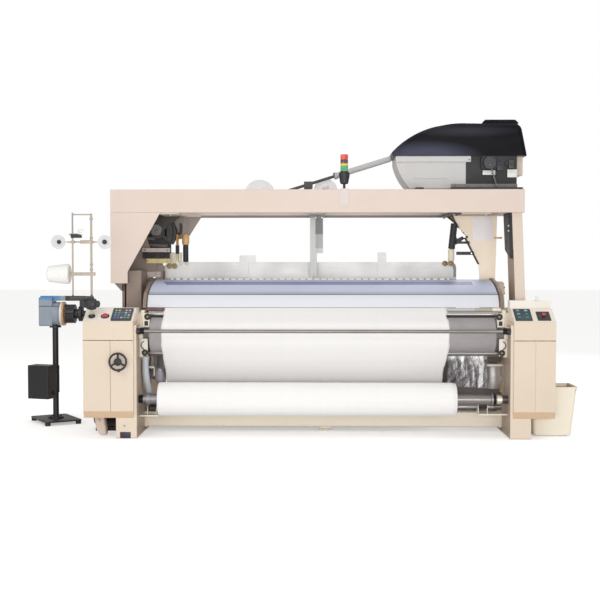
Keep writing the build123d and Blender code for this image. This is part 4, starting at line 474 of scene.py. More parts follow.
# each finish and the CAD nodes that wear it
nodeFinish = {
    "frameBeige": "left_side_frame right_side_frame",
    "beamBeige": "cross_beams",
    "consoleBeige": "left_console right_console console_panels",
    "blackPlastic": "handwheel cable_duct",
    "screenBlack": "touch_screen",
    "keypadTeal": "keypad",
    "redPlastic": "emergency_button stop_button signal_lenses",
    "rollerRubber": "take_up_roller",
    "turnedSteel": "upper_guide_roller press_roller lower_guide_roller back_rest_roller",
    "bracketCream": "roller_brackets",
    "rodSteel": "front_rod",
    "coreSteel": "cloth_core",
    "beamGrey": "warp_beam sley",
    "brightSteel": "reed",
    "shaftMetal": "heald_frame_1 heald_frame_2 heald_frame_3 heald_frame_4",
    "machineBlack": "left_levers_a left_levers_b right_levers_a right_levers_b feeder_stand main_motor",
    "mechanismDark": "lever_brackets",
    "paleBeige": "gantry_beams left_arch_cover",
    "archPost": "left_arch_post",
    "panelTan": "right_arch_panel",
    "outerPost": "right_outer_post",
    "hangerGrey": "centre_hanger",
    "recessBrown": "hood_brackets drip_tray",
    "casingGrey": "dobby_casing",
    "glossBlack": "dobby_hood",
    "driveBlack": "dobby_drive_box",
    "tubeGrey": "harness_tube",
    "towerBlack": "signal_tower",
    "feederBlue": "feeder_body",
    "feederRing": "feeder_ring",
    "creelTan": "creel_frame",
    "yarnWhite": "yarn_cone warp_wound warp_sheet cloth_wound cloth_sheet",
    "binPlastic": "waste_bin",
    "hoseRubber": "water_hose",
    "ringPlastic": "splash_hood plastic_curtain",
}


def wear(node, finish):
    mesh = nodeObjects[node].data
    mesh.materials.clear()
    mesh.materials.append(finishes[finish])


for finish, nodes in nodeFinish.items():
    for node in nodes.split():
        wear(node, finish)
print("finishes on the nodes")


# cloth, warp and the clear curtain
def gridFaces(rows, cols):
    n = cols + 1
    return [(r * n + c, (r + 1) * n + c, (r + 1) * n + c + 1, r * n + c + 1)
            for r in range(rows) for c in range(cols)]


def giveWeb(piece, texture):
    # texture coordinates along and across the cloth
    layer = piece.data.uv_layers.new(name="web")
    for loop in piece.data.loops:
        layer.data[loop.index].uv = texture[loop.vertex_index]


def meshPiece(name, points, faces, finish, body):
    mesh = bpy.data.meshes.new(name)
    mesh.from_pydata([tuple(p) for p in points], [], faces)
    mesh.validate()
    mesh.polygons.foreach_set("use_smooth", [True] * len(mesh.polygons))
    mesh.materials.append(finishes[finish])
    piece = bpy.data.objects.new(name, mesh)
    bpy.context.scene.collection.objects.link(piece)
    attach(piece, body)
    return piece


def applied(piece):
    # the piece's modifiers worked into its mesh
    graph = bpy.context.evaluated_depsgraph_get()
    mesh = bpy.data.meshes.new_from_object(piece.evaluated_get(graph))
    piece.modifiers.clear()
    old = piece.data
    piece.data = mesh
    mesh.name = piece.name
    bpy.data.meshes.remove(old)
    return piece


def onCircle(stop, angle):
    (y, z), radius = stop
    return (y + radius * sin(angle), z - radius * cos(angle))


def threadPath(stops, step=0.012, arcStep=0.12):
    # points of a web that runs over rollers, seen from the side, and how free each one is
    angles = []
    for a, b in zip(stops, stops[1:]):
        reach = (Vector(b[0]) - Vector(a[0])).length
        angles.append(atan2(b[0][1] - a[0][1], b[0][0] - a[0][0]) + asin((a[1] - b[1]) / reach))
    points = []
    for i, angle in enumerate(angles):
        start, end = onCircle(stops[i], angle), onCircle(stops[i + 1], angle)
        length = (Vector(end) - Vector(start)).length
        count = max(2, int(length / step))
        for k in range(count):
            share = k / count
            points.append((start[0] + (end[0] - start[0]) * share, start[1] + (end[1] - start[1]) * share,
                           sin(pi * share) ** 2 * min(1, length / 0.25)))
        if i + 1 < len(angles):
            turn = (angles[i + 1] - angle) % (2 * pi)
            if stops[i + 1][1] < 0:
                turn -= 2 * pi
            pieces = max(2, int(abs(turn) / arcStep))
            points += [(*onCircle(stops[i + 1], angle + turn * k / pieces), 0) for k in range(pieces)]
    points.append((*stops[-1][0], 0))
    return points


clothPlan = {
    "left": -1.219, "right": 0.949, "columns": 150, "thickness": 0.0010,
    "stops": [((-0.300, 0.96525), 0), ((-0.471, 0.9472), 0.01805), ((-0.51, 0.92), 0.02305),
              ((-0.55, 0.76), 0.13605), ((-0.34, 0.187), -0.02805), ((-0.67, 0.15695), 0)],
    "pullIn": 0.030, "ripple": 0.0035,
}


def wovenFinish(name, color, shade, across=0.18, along=0.12, rough=0.78):
    # plain weave: yarn lines both ways, faint bars across and streaks along the web, soft sheen
    kit = NodeKit(name)
    web = kit.place((1, 1, 1), source="UV")
    bars = kit.add("TexNoise", Vector=kit.place((0.15, 34, 1), source="UV"), Scale=1.0, Detail=3.0).outputs[0]
    streaks = kit.add("TexNoise", Vector=kit.place((46, 0.5, 1), source="UV"), Scale=1.0,
                      Detail=4.0).outputs[0]
    tone = kit.blend(kit.times(kit.remap(bars, 0.45, 0.7), across), color, shade)
    tone = kit.blend(kit.times(kit.remap(streaks, 0.45, 0.7), along), tone, shade)
    weft = kit.add("TexWave", {"bands_direction": "Y"}, Vector=web, Scale=190.0, Distortion=0.6,
                   Detail=1.0).outputs[1]
    warp = kit.add("TexWave", {"bands_direction": "X"}, Vector=web, Scale=210.0, Distortion=0.4,
                   Detail=1.0).outputs[1]
    normal = kit.bump(kit.math("ADD", weft, warp), 0.12, 0.0004)
    kit.done(Base_Color=tone, Roughness=rough, Normal=normal, Sheen_Weight=0.25, Sheen_Roughness=0.5)


def buildCloth(p):
    profile = threadPath(p["stops"])
    rows, cols = len(profile), p["columns"]
    rng = random.Random(11)
    waves = [(rng.uniform(3, 16), rng.uniform(0, 6.28), rng.uniform(-2.5, 2.5),
              rng.uniform(0.3, 1)) for _ in range(9)]
    points, texture, run = [], [], 0
    for r, (y, z, free) in enumerate(profile):
        if r:
            run += (Vector((y, z)) - Vector(profile[r - 1][:2])).length
        before, after = Vector(profile[max(0, r - 1)][:2]), Vector(profile[min(rows - 1, r + 1)][:2])
        heading = (after - before).normalized()
        outward = Vector((-heading.y, heading.x))
        pull = p["pullIn"] * free
        selvedge = 0.0016 * sin(run * 41) + 0.001 * sin(run * 97 + 1)
        for c in range(cols + 1):
            share = c / cols
            x = (p["left"] + pull * 0.35 + selvedge
                 + (p["right"] - p["left"] - pull * 1.35 - 2 * selvedge) * share)
            edge = abs(share - 0.5) * 2
            lift = sum(a * sin(x * f + ph + run * tilt) for f, ph, tilt, a in waves) / 4
            lift = p["ripple"] * free * (lift * (0.35 + 0.9 * edge ** 3) - 0.4)
            points.append((x, y - outward.x * lift, z - outward.y * lift))
            texture.append((x, run))
    cloth = meshPiece("clothWeb", points, gridFaces(rows - 1, cols), "wovenWhite", "structure")
    giveWeb(cloth, texture)
    thick = cloth.modifiers.new("thickness", "SOLIDIFY")
    thick.thickness, thick.offset = p["thickness"], 0
    applied(cloth)
    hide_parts("cloth_sheet")
    return run


wovenFinish("wovenWhite", (0.885, 0.872, 0.862), (0.79, 0.78, 0.77))
clothRun = buildCloth(clothPlan)


rollPlan = {"left": -1.239, "right": 0.999, "core": 0.0385, "radius": 0.1262, "centre": (-0.67, 0.285),
            "sides": 120}


def buildClothRoll(p):
    # wound cloth: a little uneven along its length, with soft shoulders and one turn that ran wide
    rng = random.Random(5)
    waves = [(rng.uniform(4, 30), rng.uniform(0, 6.28), rng.uniform(0.2, 1)) for _ in range(8)]
    left, right, r = p["left"], p["right"], p["radius"]
    profile = [(left + 0.004, p["core"]), (left + 0.002, 0.07), (left, 0.10), (left + 0.001, r - 0.006),
               (left + 0.005, r - 0.001)]
    count = 110
    for k in range(count + 1):
        x = left + 0.012 + (right - left - 0.042) * k / count
        uneven = sum(a * sin(x * f + ph) for f, ph, a in waves) / 8
        profile.append((x, r + 0.0011 * uneven))
    profile += [(right - 0.026, r - 0.001), (right - 0.0235, r - 0.004), (right - 0.012, r - 0.0046),
                (right - 0.003, r - 0.006), (right - 0.0005, r - 0.010), (right, 0.09),
                (right - 0.003, p["core"])]
    points, texture = [], []
    y0, z0 = p["centre"]
    for x, radius in profile:
        for s in range(p["sides"] + 1):
            a = 2 * pi * s / p["sides"]
            swell = radius * (1 + 0.0018 * sin(2 * a + x * 2.1)) if radius > 0.11 else radius
            points.append((x, y0 + swell * cos(a), z0 + swell * sin(a)))
            texture.append((x, a * radius))
    n = p["sides"] + 1
    faces = [(i * n + s, i * n + s + 1, (i + 1) * n + s + 1,
              (i + 1) * n + s) for i in range(len(profile) - 1) for s in range(p["sides"])]
    roll = meshPiece("clothRoll", points, faces, "wovenWhite", "cloth_roll")
    giveWeb(roll, texture)
    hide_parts("cloth_wound")


buildClothRoll(rollPlan)
print("cloth and cloth roll done, web", round(clothRun, 3), "m long")


curtainPlan = {"left": 0.960, "right": 1.267, "top": 0.609, "drop": 0.258, "y": -0.4414, "depth": 0.026,
               "thickness": 0.0012}


def curtainFinish():
    # clear film with creases that run down to the left, painted white along the creases as highlights and
    # dark in the hollows between them as shade
    kit = NodeKit("clearFilm")
    turned = kit.add("Mapping", Vector=kit.add("TexCoord").outputs["Object"], Rotation=(0, radians(-36), 0),
                     Scale=(34, 12, 5.5))
    streaks = kit.add("TexNoise", Vector=turned.outputs[0], Scale=1.0, Detail=3.0, Roughness=0.55).outputs[0]
    creaseHighlight = kit.remap(streaks, 0.50, 0.60)
    hollowShade = kit.remap(streaks, 0.47, 0.38)
    tone = kit.blend(creaseHighlight, (0.50, 0.475, 0.475), (0.96, 0.96, 0.98))
    tone = kit.blend(hollowShade, tone, (0.09, 0.075, 0.11))
    veil = kit.math("MAXIMUM", kit.remap(creaseHighlight, 0, 1, 0.30, 0.86), kit.times(hollowShade, 0.72))
    kit.material.surface_render_method = "BLENDED"
    kit.done(Base_Color=tone, Roughness=0.09, Alpha=veil, Specular_IOR_Level=0.7, Coat_Weight=0.5)


curtainFinish()


def buildCurtain(p):
    cols, rows = 90, 60
    points = []
    for r in range(rows + 1):
        down = r / rows
        hang = min(1, max(0, (down - 0.09) / 0.3)) ** 1.5
        for c in range(cols + 1):
            share = c / cols
            x = (p["left"] + (p["right"] - p["left"]) * share
                 + 0.018 * hang * sin(share * 9 + down * 2) * (1 - share) * share * 3)
            slant = share * 6.2 + down * 4.6
            fold = (sin(slant * 3.6 + 0.6 * sin(slant * 1.3)) * 0.5
                    + 0.28 * sin(slant * 8.3 + down * 4) + 0.1 * sin(slant * 19 + down * 3))
            points.append((x, p["y"] - hang * p["depth"] * (0.62 + 0.6 * fold),
                           p["top"] - p["drop"] * down * (1 - 0.02 * sin(share * 5))))
    curtain = meshPiece("clearCurtain", points, gridFaces(rows, cols), "clearFilm", "structure")
    thick = curtain.modifiers.new("thickness", "SOLIDIFY")
    thick.thickness, thick.offset = p["thickness"], 0
    area = sum(f.area for f in curtain.data.polygons)
    applied(curtain)
    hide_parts("plastic_curtain")
    return area / p["drop"]


curtainWidth = buildCurtain(curtainPlan)
print("clear curtain done, cut", round(curtainWidth, 3), "m wide")


# shop tools for the small metal pieces
toFront, upward = (0, -1, 0), (0, 0, 1)
# faces that small pieces sit on, each 0.3 mm into its node
frameFace = 1.3903
healdFront = 0.1413
archFront = 0.0903
pulleyRim = [(0, 0.008), (0.002, 0.016), (0.003, 0.0225), (0.005, 0.0225), (0.0065, 0.018),
             (0.0085, 0.018), (0.010, 0.0225), (0.012, 0.0225), (0.013, 0.013)]


class Shape:
    # gathers slabs, turned pieces, plates and bolts into one mesh
    def __init__(self):
        self.mesh = bmesh.new()

    def take(self, part, matrix=None):
        if matrix is not None:
            part.transform(matrix)
        data = bpy.data.meshes.new("part")
        part.to_mesh(data)
        part.free()
        self.mesh.from_mesh(data)
        bpy.data.meshes.remove(data)
        return self

    def slab(self, low, high, round=0.0015):
        part = bmesh.new()
        bmesh.ops.create_cube(part, size=1)
        size = Vector(high) - Vector(low)
        bmesh.ops.scale(part, vec=size, verts=part.verts)
        if round:
            bmesh.ops.bevel(part, geom=part.edges[:], offset=min(round, min(size) * 0.4), segments=2,
                            affect="EDGES", profile=0.6)
        return self.take(part, Matrix.Translation((Vector(low) + Vector(high)) / 2))

    def turned(self, start, along, profile, sides=28, closed=False):
        # profile is a list of (distance along the axis, radius)
        part = bmesh.new()
        rings = []
        for reach, radius in profile:
            if radius <= 0:
                rings.append([part.verts.new((0, 0, reach))])
            else:
                turns = [2 * pi * s / sides for s in range(sides)]
                rings.append([part.verts.new((radius * cos(t), radius * sin(t), reach)) for t in turns])
        for a, b in zip(rings, rings[1:] + rings[:1] if closed else rings[1:]):
            for s in range(sides):
                corners = [a[s % len(a)], a[(s + 1) % sides % len(a)], b[(s + 1) % sides % len(b)],
                           b[s % len(b)]]
                corners = [v for i, v in enumerate(corners) if v not in corners[:i]]
                if len(corners) > 2:
                    part.faces.new(corners)
        for ring, flip in ((rings[0], True), (rings[-1], False)):
            if len(ring) > 1 and not closed:
                part.faces.new(ring[::-1] if flip else ring)
        bmesh.ops.recalc_face_normals(part, faces=part.faces[:])
        turn = Vector(upward).rotation_difference(Vector(along)).to_matrix().to_4x4()
        return self.take(part, Matrix.Translation(start) @ turn)

    def plate(self, outline, axis, low, high, round=0.001):
        # outline is drawn on the two other axes, in x, y, z order
        part = bmesh.new()
        spot = {"x": lambda u, v: (low, u, v), "y": lambda u, v: (u, low, v), "z": lambda u,
                v: (u, v, low)}[axis]
        face = part.faces.new([part.verts.new(spot(u, v)) for u, v in outline])
        step = {"x": (high - low, 0, 0), "y": (0, high - low, 0), "z": (0, 0, high - low)}[axis]
        made = bmesh.ops.extrude_face_region(part, geom=[face])["geom"]
        bmesh.ops.translate(part, vec=step, verts=[g for g in made if isinstance(g, bmesh.types.BMVert)])
        bmesh.ops.recalc_face_normals(part, faces=part.faces[:])
        if round:
            bmesh.ops.bevel(part, geom=part.edges[:], offset=round, segments=2, affect="EDGES")
        return self.take(part)

    def bolt(self, place, along, size=0.008):
        # hexagon head on a washer; size is the thread's diameter
        head, low, wide = size * 0.9, size * 0.2, size * 1.05
        self.turned(place, along, [(0, size * 0.5), (0, wide), (low * 0.8, wide), (low, size * 1.0),
                                   (low, size * 0.5)], 20)
        self.turned(Vector(place) + Vector(along) * low, along,
                    [(0, size * 0.94), (head * 0.82, size * 0.94), (head, size * 0.78), (head, 0)], 6)
        return self

    def socketScrew(self, place, along, size=0.006):
        return self.turned(place, along,
                           [(0, size * 0.75), (size * 0.8, size * 0.75), (size * 0.95, size * 0.68),
                            (size * 0.95, size * 0.4), (size * 0.45, size * 0.38), (size * 0.45, 0)], 16)

    def piece(self, name, finish, slot, body="structure"):
        data = bpy.data.meshes.new(name)
        self.mesh.to_mesh(data)
        self.mesh.free()
        data.polygons.foreach_set("use_smooth", [True] * len(data.polygons))
        data.set_sharp_from_angle(angle=radians(34))
        data.materials.append(finishes[finish])
        obj = bpy.data.objects.new(name, data)
        bpy.context.scene.collection.objects.link(obj)
        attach(obj, body)


# finishes that follow a place on the machine
def hoodFinish():
    # moulded splash hood: pale lower lip, grey-blue crown with painted shade darkening it down to a dark line
    # at the crease, one violet band
    kit = NodeKit("hoodSheet")
    spot = kit.add("SeparateXYZ", Vector=kit.add("TexCoord").outputs["Object"])
    x, z = spot.outputs[0], spot.outputs[2]
    # the dark stops at 0.472 and 0.486 and the darker grey-blue up to 0.60 are painted shade along the crease
    places = [(0.0, (0.74, 0.75, 0.80)), (0.462, (0.72, 0.735, 0.79)), (0.472, (0.14, 0.145, 0.17)),
              (0.486, (0.16, 0.165, 0.19)), (0.50, (0.38, 0.41, 0.48)), (0.60, (0.58, 0.635, 0.77)),
              (0.80, (0.65, 0.72, 0.94)), (1.0, (0.60, 0.61, 0.76))]
    crownWithPaintedShade = kit.ramp(kit.remap(z, 0.96, 1.18), places)
    slanted = kit.math("ADD", x, kit.times(kit.math("SUBTRACT", z, 1.148), 1.6))
    band = kit.times(kit.math("GREATER_THAN", z, 1.1360), kit.math("LESS_THAN", z, 1.1602))
    band = kit.times(band, kit.times(kit.math("GREATER_THAN", slanted, -1.262),
                                     kit.math("LESS_THAN", x, 1.191)))
    tone = kit.blend(kit.times(band, 0.92), crownWithPaintedShade, (0.25, 0.25, 0.44))
    smear = kit.remap(kit.noise(3, 5, (0.35, 2, 2)), 0.4, 0.75)
    tone = kit.blend(kit.times(smear, 0.16), tone, (0.70, 0.72, 0.76))
    rough = kit.remap(smear, 0, 1, 0.46, 0.56)
    normal = kit.bump(kit.noise(2.2, 2, (0.4, 3, 3)), 0.25, 0.006, kit.roundEdges(0.0015))
    kit.done(Base_Color=tone, Roughness=rough, Normal=normal, Specular_IOR_Level=0.14,
             Coat_Weight=0.02, Coat_Roughness=0.2)


def lensFinish():
    # the four lenses of the signal tower, by height
    kit = NodeKit("lensPlastic")
    z = kit.add("SeparateXYZ", Vector=kit.add("TexCoord").outputs["Object"]).outputs[2]
    places = [(0.0, (0.05, 0.42, 0.16)), (0.34, (0.85, 0.58, 0.04)), (0.467, (0.045, 0.02, 0.06)),
              (0.66, (0.78, 0.05, 0.025))]
    lenses = kit.ramp(kit.remap(z, 2.02, 2.17), places, steps=True)
    ribs = kit.add("TexWave", {"bands_direction": "Z"}, Vector=kit.place(), Scale=62.0).outputs[1]
    tone = kit.blend(kit.times(kit.remap(kit.noise(30, 3), 0.4, 0.7), 0.25), lenses, (0.9, 0.75, 0.6))
    kit.done(Base_Color=tone, Roughness=kit.remap(ribs, 0, 1, 0.14, 0.24),
             Normal=kit.bump(ribs, 0.35, 0.002, kit.roundEdges(0.002)), Coat_Weight=0.6)


def warpFinish():
    # warp ends side by side, running with the web
    kit = NodeKit("warpYarn")
    ends = kit.add("TexWave", {"bands_direction": "X"}, Vector=kit.place(), Scale=95.0, Distortion=0.8,
                   Detail=2.0, Detail_Scale=0.6).outputs[1]
    groups = kit.remap(kit.noise(1, 4, (44, 0.4, 0.4)), 0.38, 0.7)
    tone = kit.blend(kit.times(groups, 0.5), (0.84, 0.83, 0.81), (0.60, 0.59, 0.58))
    tone = kit.blend(kit.times(ends, 0.22), tone, (0.50, 0.49, 0.48))
    kit.done(Base_Color=tone, Roughness=0.62, Normal=kit.bump(ends, 0.35, 0.0008), Sheen_Weight=0.2)


hoodFinish()
lensFinish()
warpFinish()
for node, finish in {"splash_hood": "hoodSheet", "signal_lenses": "lensPlastic", "warp_sheet": "warpYarn",
                     "warp_wound": "warpYarn"}.items():
    wear(node, finish)
print("hood, lenses and warp coloured")


# bearing caps and the black end discs of the rollers, both sides
capPlan = {
    "blocks": [(1.312, 1.3645, -0.640, -0.605, 0.825, 0.930), (1.340, 1.3645, -0.606, -0.560, 0.855, 0.930),
               (1.324, 1.388, -0.652, -0.6397, 0.610, 0.740)],
    "discs": [(1.326, -0.6398, 0.905, 0.025), (1.345, -0.6517, 0.634, 0.024)],
    "arc": {"reach": 1.345, "z": 0.690, "inner": 0.026, "outer": 0.033, "from": -75, "to": 75},
    "windows": [(1.322, 1.350, -0.6412, -0.6397, 0.838, 0.872)],
}


def buildBearingCaps(p):
    for side, name in ((-1, "Left"), (1, "Right")):
        cream, dark, bronze = Shape(), Shape(), Shape()
        for a, b, y0, y1, z0, z1 in p["blocks"]:
            x0, x1 = sorted((side * a, side * b))
            cream.slab((x0, y0, z0), (x1, y1, z1), 0.004)
        for reach, y, z, r in p["discs"]:
            dark.turned((side * reach, y, z), toFront,
                        [(0, r), (0.007, r), (0.009, r * 0.9), (0.009, r * 0.62), (0.004, r * 0.55),
                         (0.004, 0)], 36)
            bronze.turned((side * reach, y - 0.004, z), toFront,
                          [(0, r * 0.42), (0.004, r * 0.42), (0.007, r * 0.28), (0.007, 0)], 24)
        a = p["arc"]
        turns = [radians(a["from"] + (a["to"] - a["from"]) * k / 14) for k in range(15)]
        outline = [(side * (a["reach"] + a["outer"] * cos(t)), a["z"] + a["outer"] * sin(t)) for t in turns]
        outline += [(side * (a["reach"] + a["inner"] * cos(t)),
                     a["z"] + a["inner"] * sin(t)) for t in reversed(turns)]
        dark.plate(outline, "y", -0.656, -0.6517, 0)
        for x0, x1, y0, y1, z0, z1 in p["windows"]:
            x0, x1 = sorted((side * x0, side * x1))
            dark.slab((x0, y0, z0), (x1, y1, z1), 0.0004)
        cream.bolt((side * 1.337, -0.6397, 0.886), toFront, 0.006)
        cream.bolt((side * 1.372, -0.6517, 0.728), toFront, 0.006)
        cream.piece("bearingBlock" + name, "creamPlate", "cream_plate")
        dark.piece("bearingDisc" + name, "blackRubber", "black_plastic")
        bronze.piece("bearingPin" + name, "brass", "bright_steel")


buildBearingCaps(capPlan)


# what stands beside the cloth roll: support wheels, brackets, tank, float cup
rollSidePlan = {
    "wheels": [(1.179, 1.235, 0.235), (-1.323, -1.269, 0.2107)], "wheelY": -0.6215, "wheelRadius": 0.025,
    "brackets": [(1.172, frameFace, 0.163), (-frameFace, -1.243, 0.148)],
    "bracketY": (-0.655, -0.575),
    "tank": {"x": 1.325, "y": -0.370, "z0": 0.335, "z1": 0.5125, "radius": 0.056},
    "cup": {"x": -1.262, "y": -0.445, "z0": 0.366, "z1": 0.502, "radius": 0.036},
    "pan": {"low": (0.895, -0.302, 0.236), "high": (frameFace, -0.297, 0.605)},
}


def buildRollSides(p):
    rubber, cream, pin = Shape(), Shape(), Shape()
    for x0, x1, z in p["wheels"]:
        r = p["wheelRadius"]
        rubber.turned((x0, p["wheelY"], z), (1, 0, 0),
                      [(0, r * 0.5), (0, r * 0.92), (0.003, r), (x1 - x0 - 0.003, r), (x1 - x0, r * 0.92),
                       (x1 - x0, r * 0.5)], 36)
        pin.turned((x0 - 0.010, p["wheelY"], z), (1, 0, 0), [(0, 0.007), (x1 - x0 + 0.020, 0.007)], 16)
    for (x0, x1, z0), (w0, w1, wz) in zip(p["brackets"], p["wheels"]):
        y0, y1 = p["bracketY"]
        cream.slab((x0, y0, z0), (x1, y1, z0 + 0.012), 0.003)
        for x in (w0 - 0.009, w1 + 0.003):  # two cheeks carry each wheel's pin
            cream.plate([(y0 + 0.006, z0 + 0.006), (y1 - 0.006, z0 + 0.006), (y1 - 0.014, wz - 0.004),
                         (p["wheelY"] + 0.012, wz + 0.013), (p["wheelY"] - 0.012, wz + 0.013),
                         (y0 + 0.014, wz - 0.004)],
                        "x", x, x + 0.006, 0.0012)
    rubber.piece("rollWheels", "blackRubber", "black_plastic")
    pin.piece("rollWheelPins", "darkSteel", "bright_steel")
    cream.piece("rollWheelBrackets", "creamPlate", "cream_plate")

    t = p["tank"]
    r, high = t["radius"], t["z1"] - t["z0"]
    tank = Shape()
    tank.turned((t["x"], t["y"], t["z0"]), upward,
                [(0, r * 0.3), (0, r * 0.86), (0.012, r), (high * 0.45, r), (high * 0.46, r * 1.03),
                 (high * 0.50, r * 1.03), (high * 0.51, r), (high - 0.012, r), (high - 0.002, r * 0.9),
                 (high, r * 0.4)], 40)
    tank.slab((t["x"] + r * 0.5, t["y"] - 0.02, t["z0"] + 0.06), (frameFace, t["y"] + 0.02, t["z0"] + 0.10),
              0.002)
    tank.piece("waterTank", "tankSteel", "bright_steel")
    lid = Shape()
    lid.slab((1.256, -0.432, 0.512), (frameFace, -0.312, 0.529), 0.003)
    lid.slab((-frameFace, -0.475, 0.499), (-1.300, -0.440, 0.513), 0.003)
    lid.slab((-1.309, -0.470, 0.439), (-1.300, -0.442, 0.513), 0.002)
    lid.bolt((1.37, -0.372, 0.5285), upward, 0.006)
    lid.piece("whiteBars", "creamPlate", "cream_plate")

    c = p["cup"]
    r, high = c["radius"], c["z1"] - c["z0"]
    cup = Shape()
    cup.turned((c["x"], c["y"], c["z0"]), upward,
               [(0, r * 0.25), (0.004, r * 0.45), (0.030, r * 0.88), (0.040, r), (high * 0.72, r),
                (high * 0.73, r * 1.12), (high * 0.80, r * 1.12), (high * 0.81, r * 0.9),
                (high - 0.008, r * 0.86), (high, r * 0.5)], 36)
    cup.piece("floatCup", "cupGrey", "grey_paint")

    pan = Shape()
    low, high = p["pan"]["low"], p["pan"]["high"]
    pan.slab(low, high, 0.001)
    pan.slab((low[0], low[1] - 0.020, low[2]), (high[0], high[1], low[2] + 0.004), 0.001)
    pan.slab((low[0], low[1] - 0.012, 0.40), (high[0], low[1], 0.404), 0.001)
    pan.piece("splashPan", "panBrown", "brown_paint")


metalFinish("tankSteel", (0.62, 0.60, 0.58), rough=0.5, along=(1, 1, 0.05), metallic=0.75)
plasticFinish("cupGrey", (0.36, 0.33, 0.38), rough=0.34, grain=0.1, gloss=0.3)
paintFinish("panBrown", (0.20, 0.165, 0.155), (0.11, 0.09, 0.10), rough=0.5, grime=0.9)
buildRollSides(rollSidePlan)


# bearing covers with their bolts on the outside of the side frames
coverPlan = {"covers": [(0.640, 0.520, 0.085), (0.560, 1.075, 0.066), (-0.215, 0.430, 0.052),
                        (-0.340, 0.187, 0.034)], "outer": 1.545}


def buildFrameCovers(p):
    for side, name in ((-1, "Left"), (1, "Right")):
        cover, bolts = Shape(), Shape()
        for y, z, r in p["covers"]:
            x = side * (p["outer"] - 0.0003)
            cover.turned((x, y, z), (side, 0, 0),
                         [(0, r), (0.010, r), (0.012, r - 0.003), (0.012, r * 0.62), (0.020, r * 0.55),
                          (0.022, r * 0.48), (0.022, 0)], 48)
            for k in range(6):
                turn = 2 * pi * (k + 0.5) / 6
                bolts.bolt((x + side * 0.012, y + r * 0.80 * cos(turn), z + r * 0.80 * sin(turn)),
                           (side, 0, 0), 0.006 if r < 0.06 else 0.008)
        cover.piece("frameCover" + name, "machineBeige", "machine_paint")
        bolts.piece("frameCoverBolts" + name, "darkSteel", "bright_steel")


buildFrameCovers(coverPlan)
print("roller ends, roll sides and frame covers done")


# lifting gear under the left end of the beam
leftGearPlan = {
    "disc": {"x": -1.258, "z": 1.556, "half": (0.025, 0.080), "y": (0.1025, 0.1113)},
    "hanger": {"low": (-1.148, 0.088, 1.540), "high": (-1.132, 0.110, 1.6935)},
    "column": {"x": -1.126, "y": 0.103},
    "ribs": [(-1.452, 1.660, -1.395, 1.640), (-1.470, 1.600, -1.400, 1.575), (-1.492, 1.530, -1.402, 1.520),
             (-1.47, 1.47, -1.30, 1.462)],
    "wallY": 0.251,
}


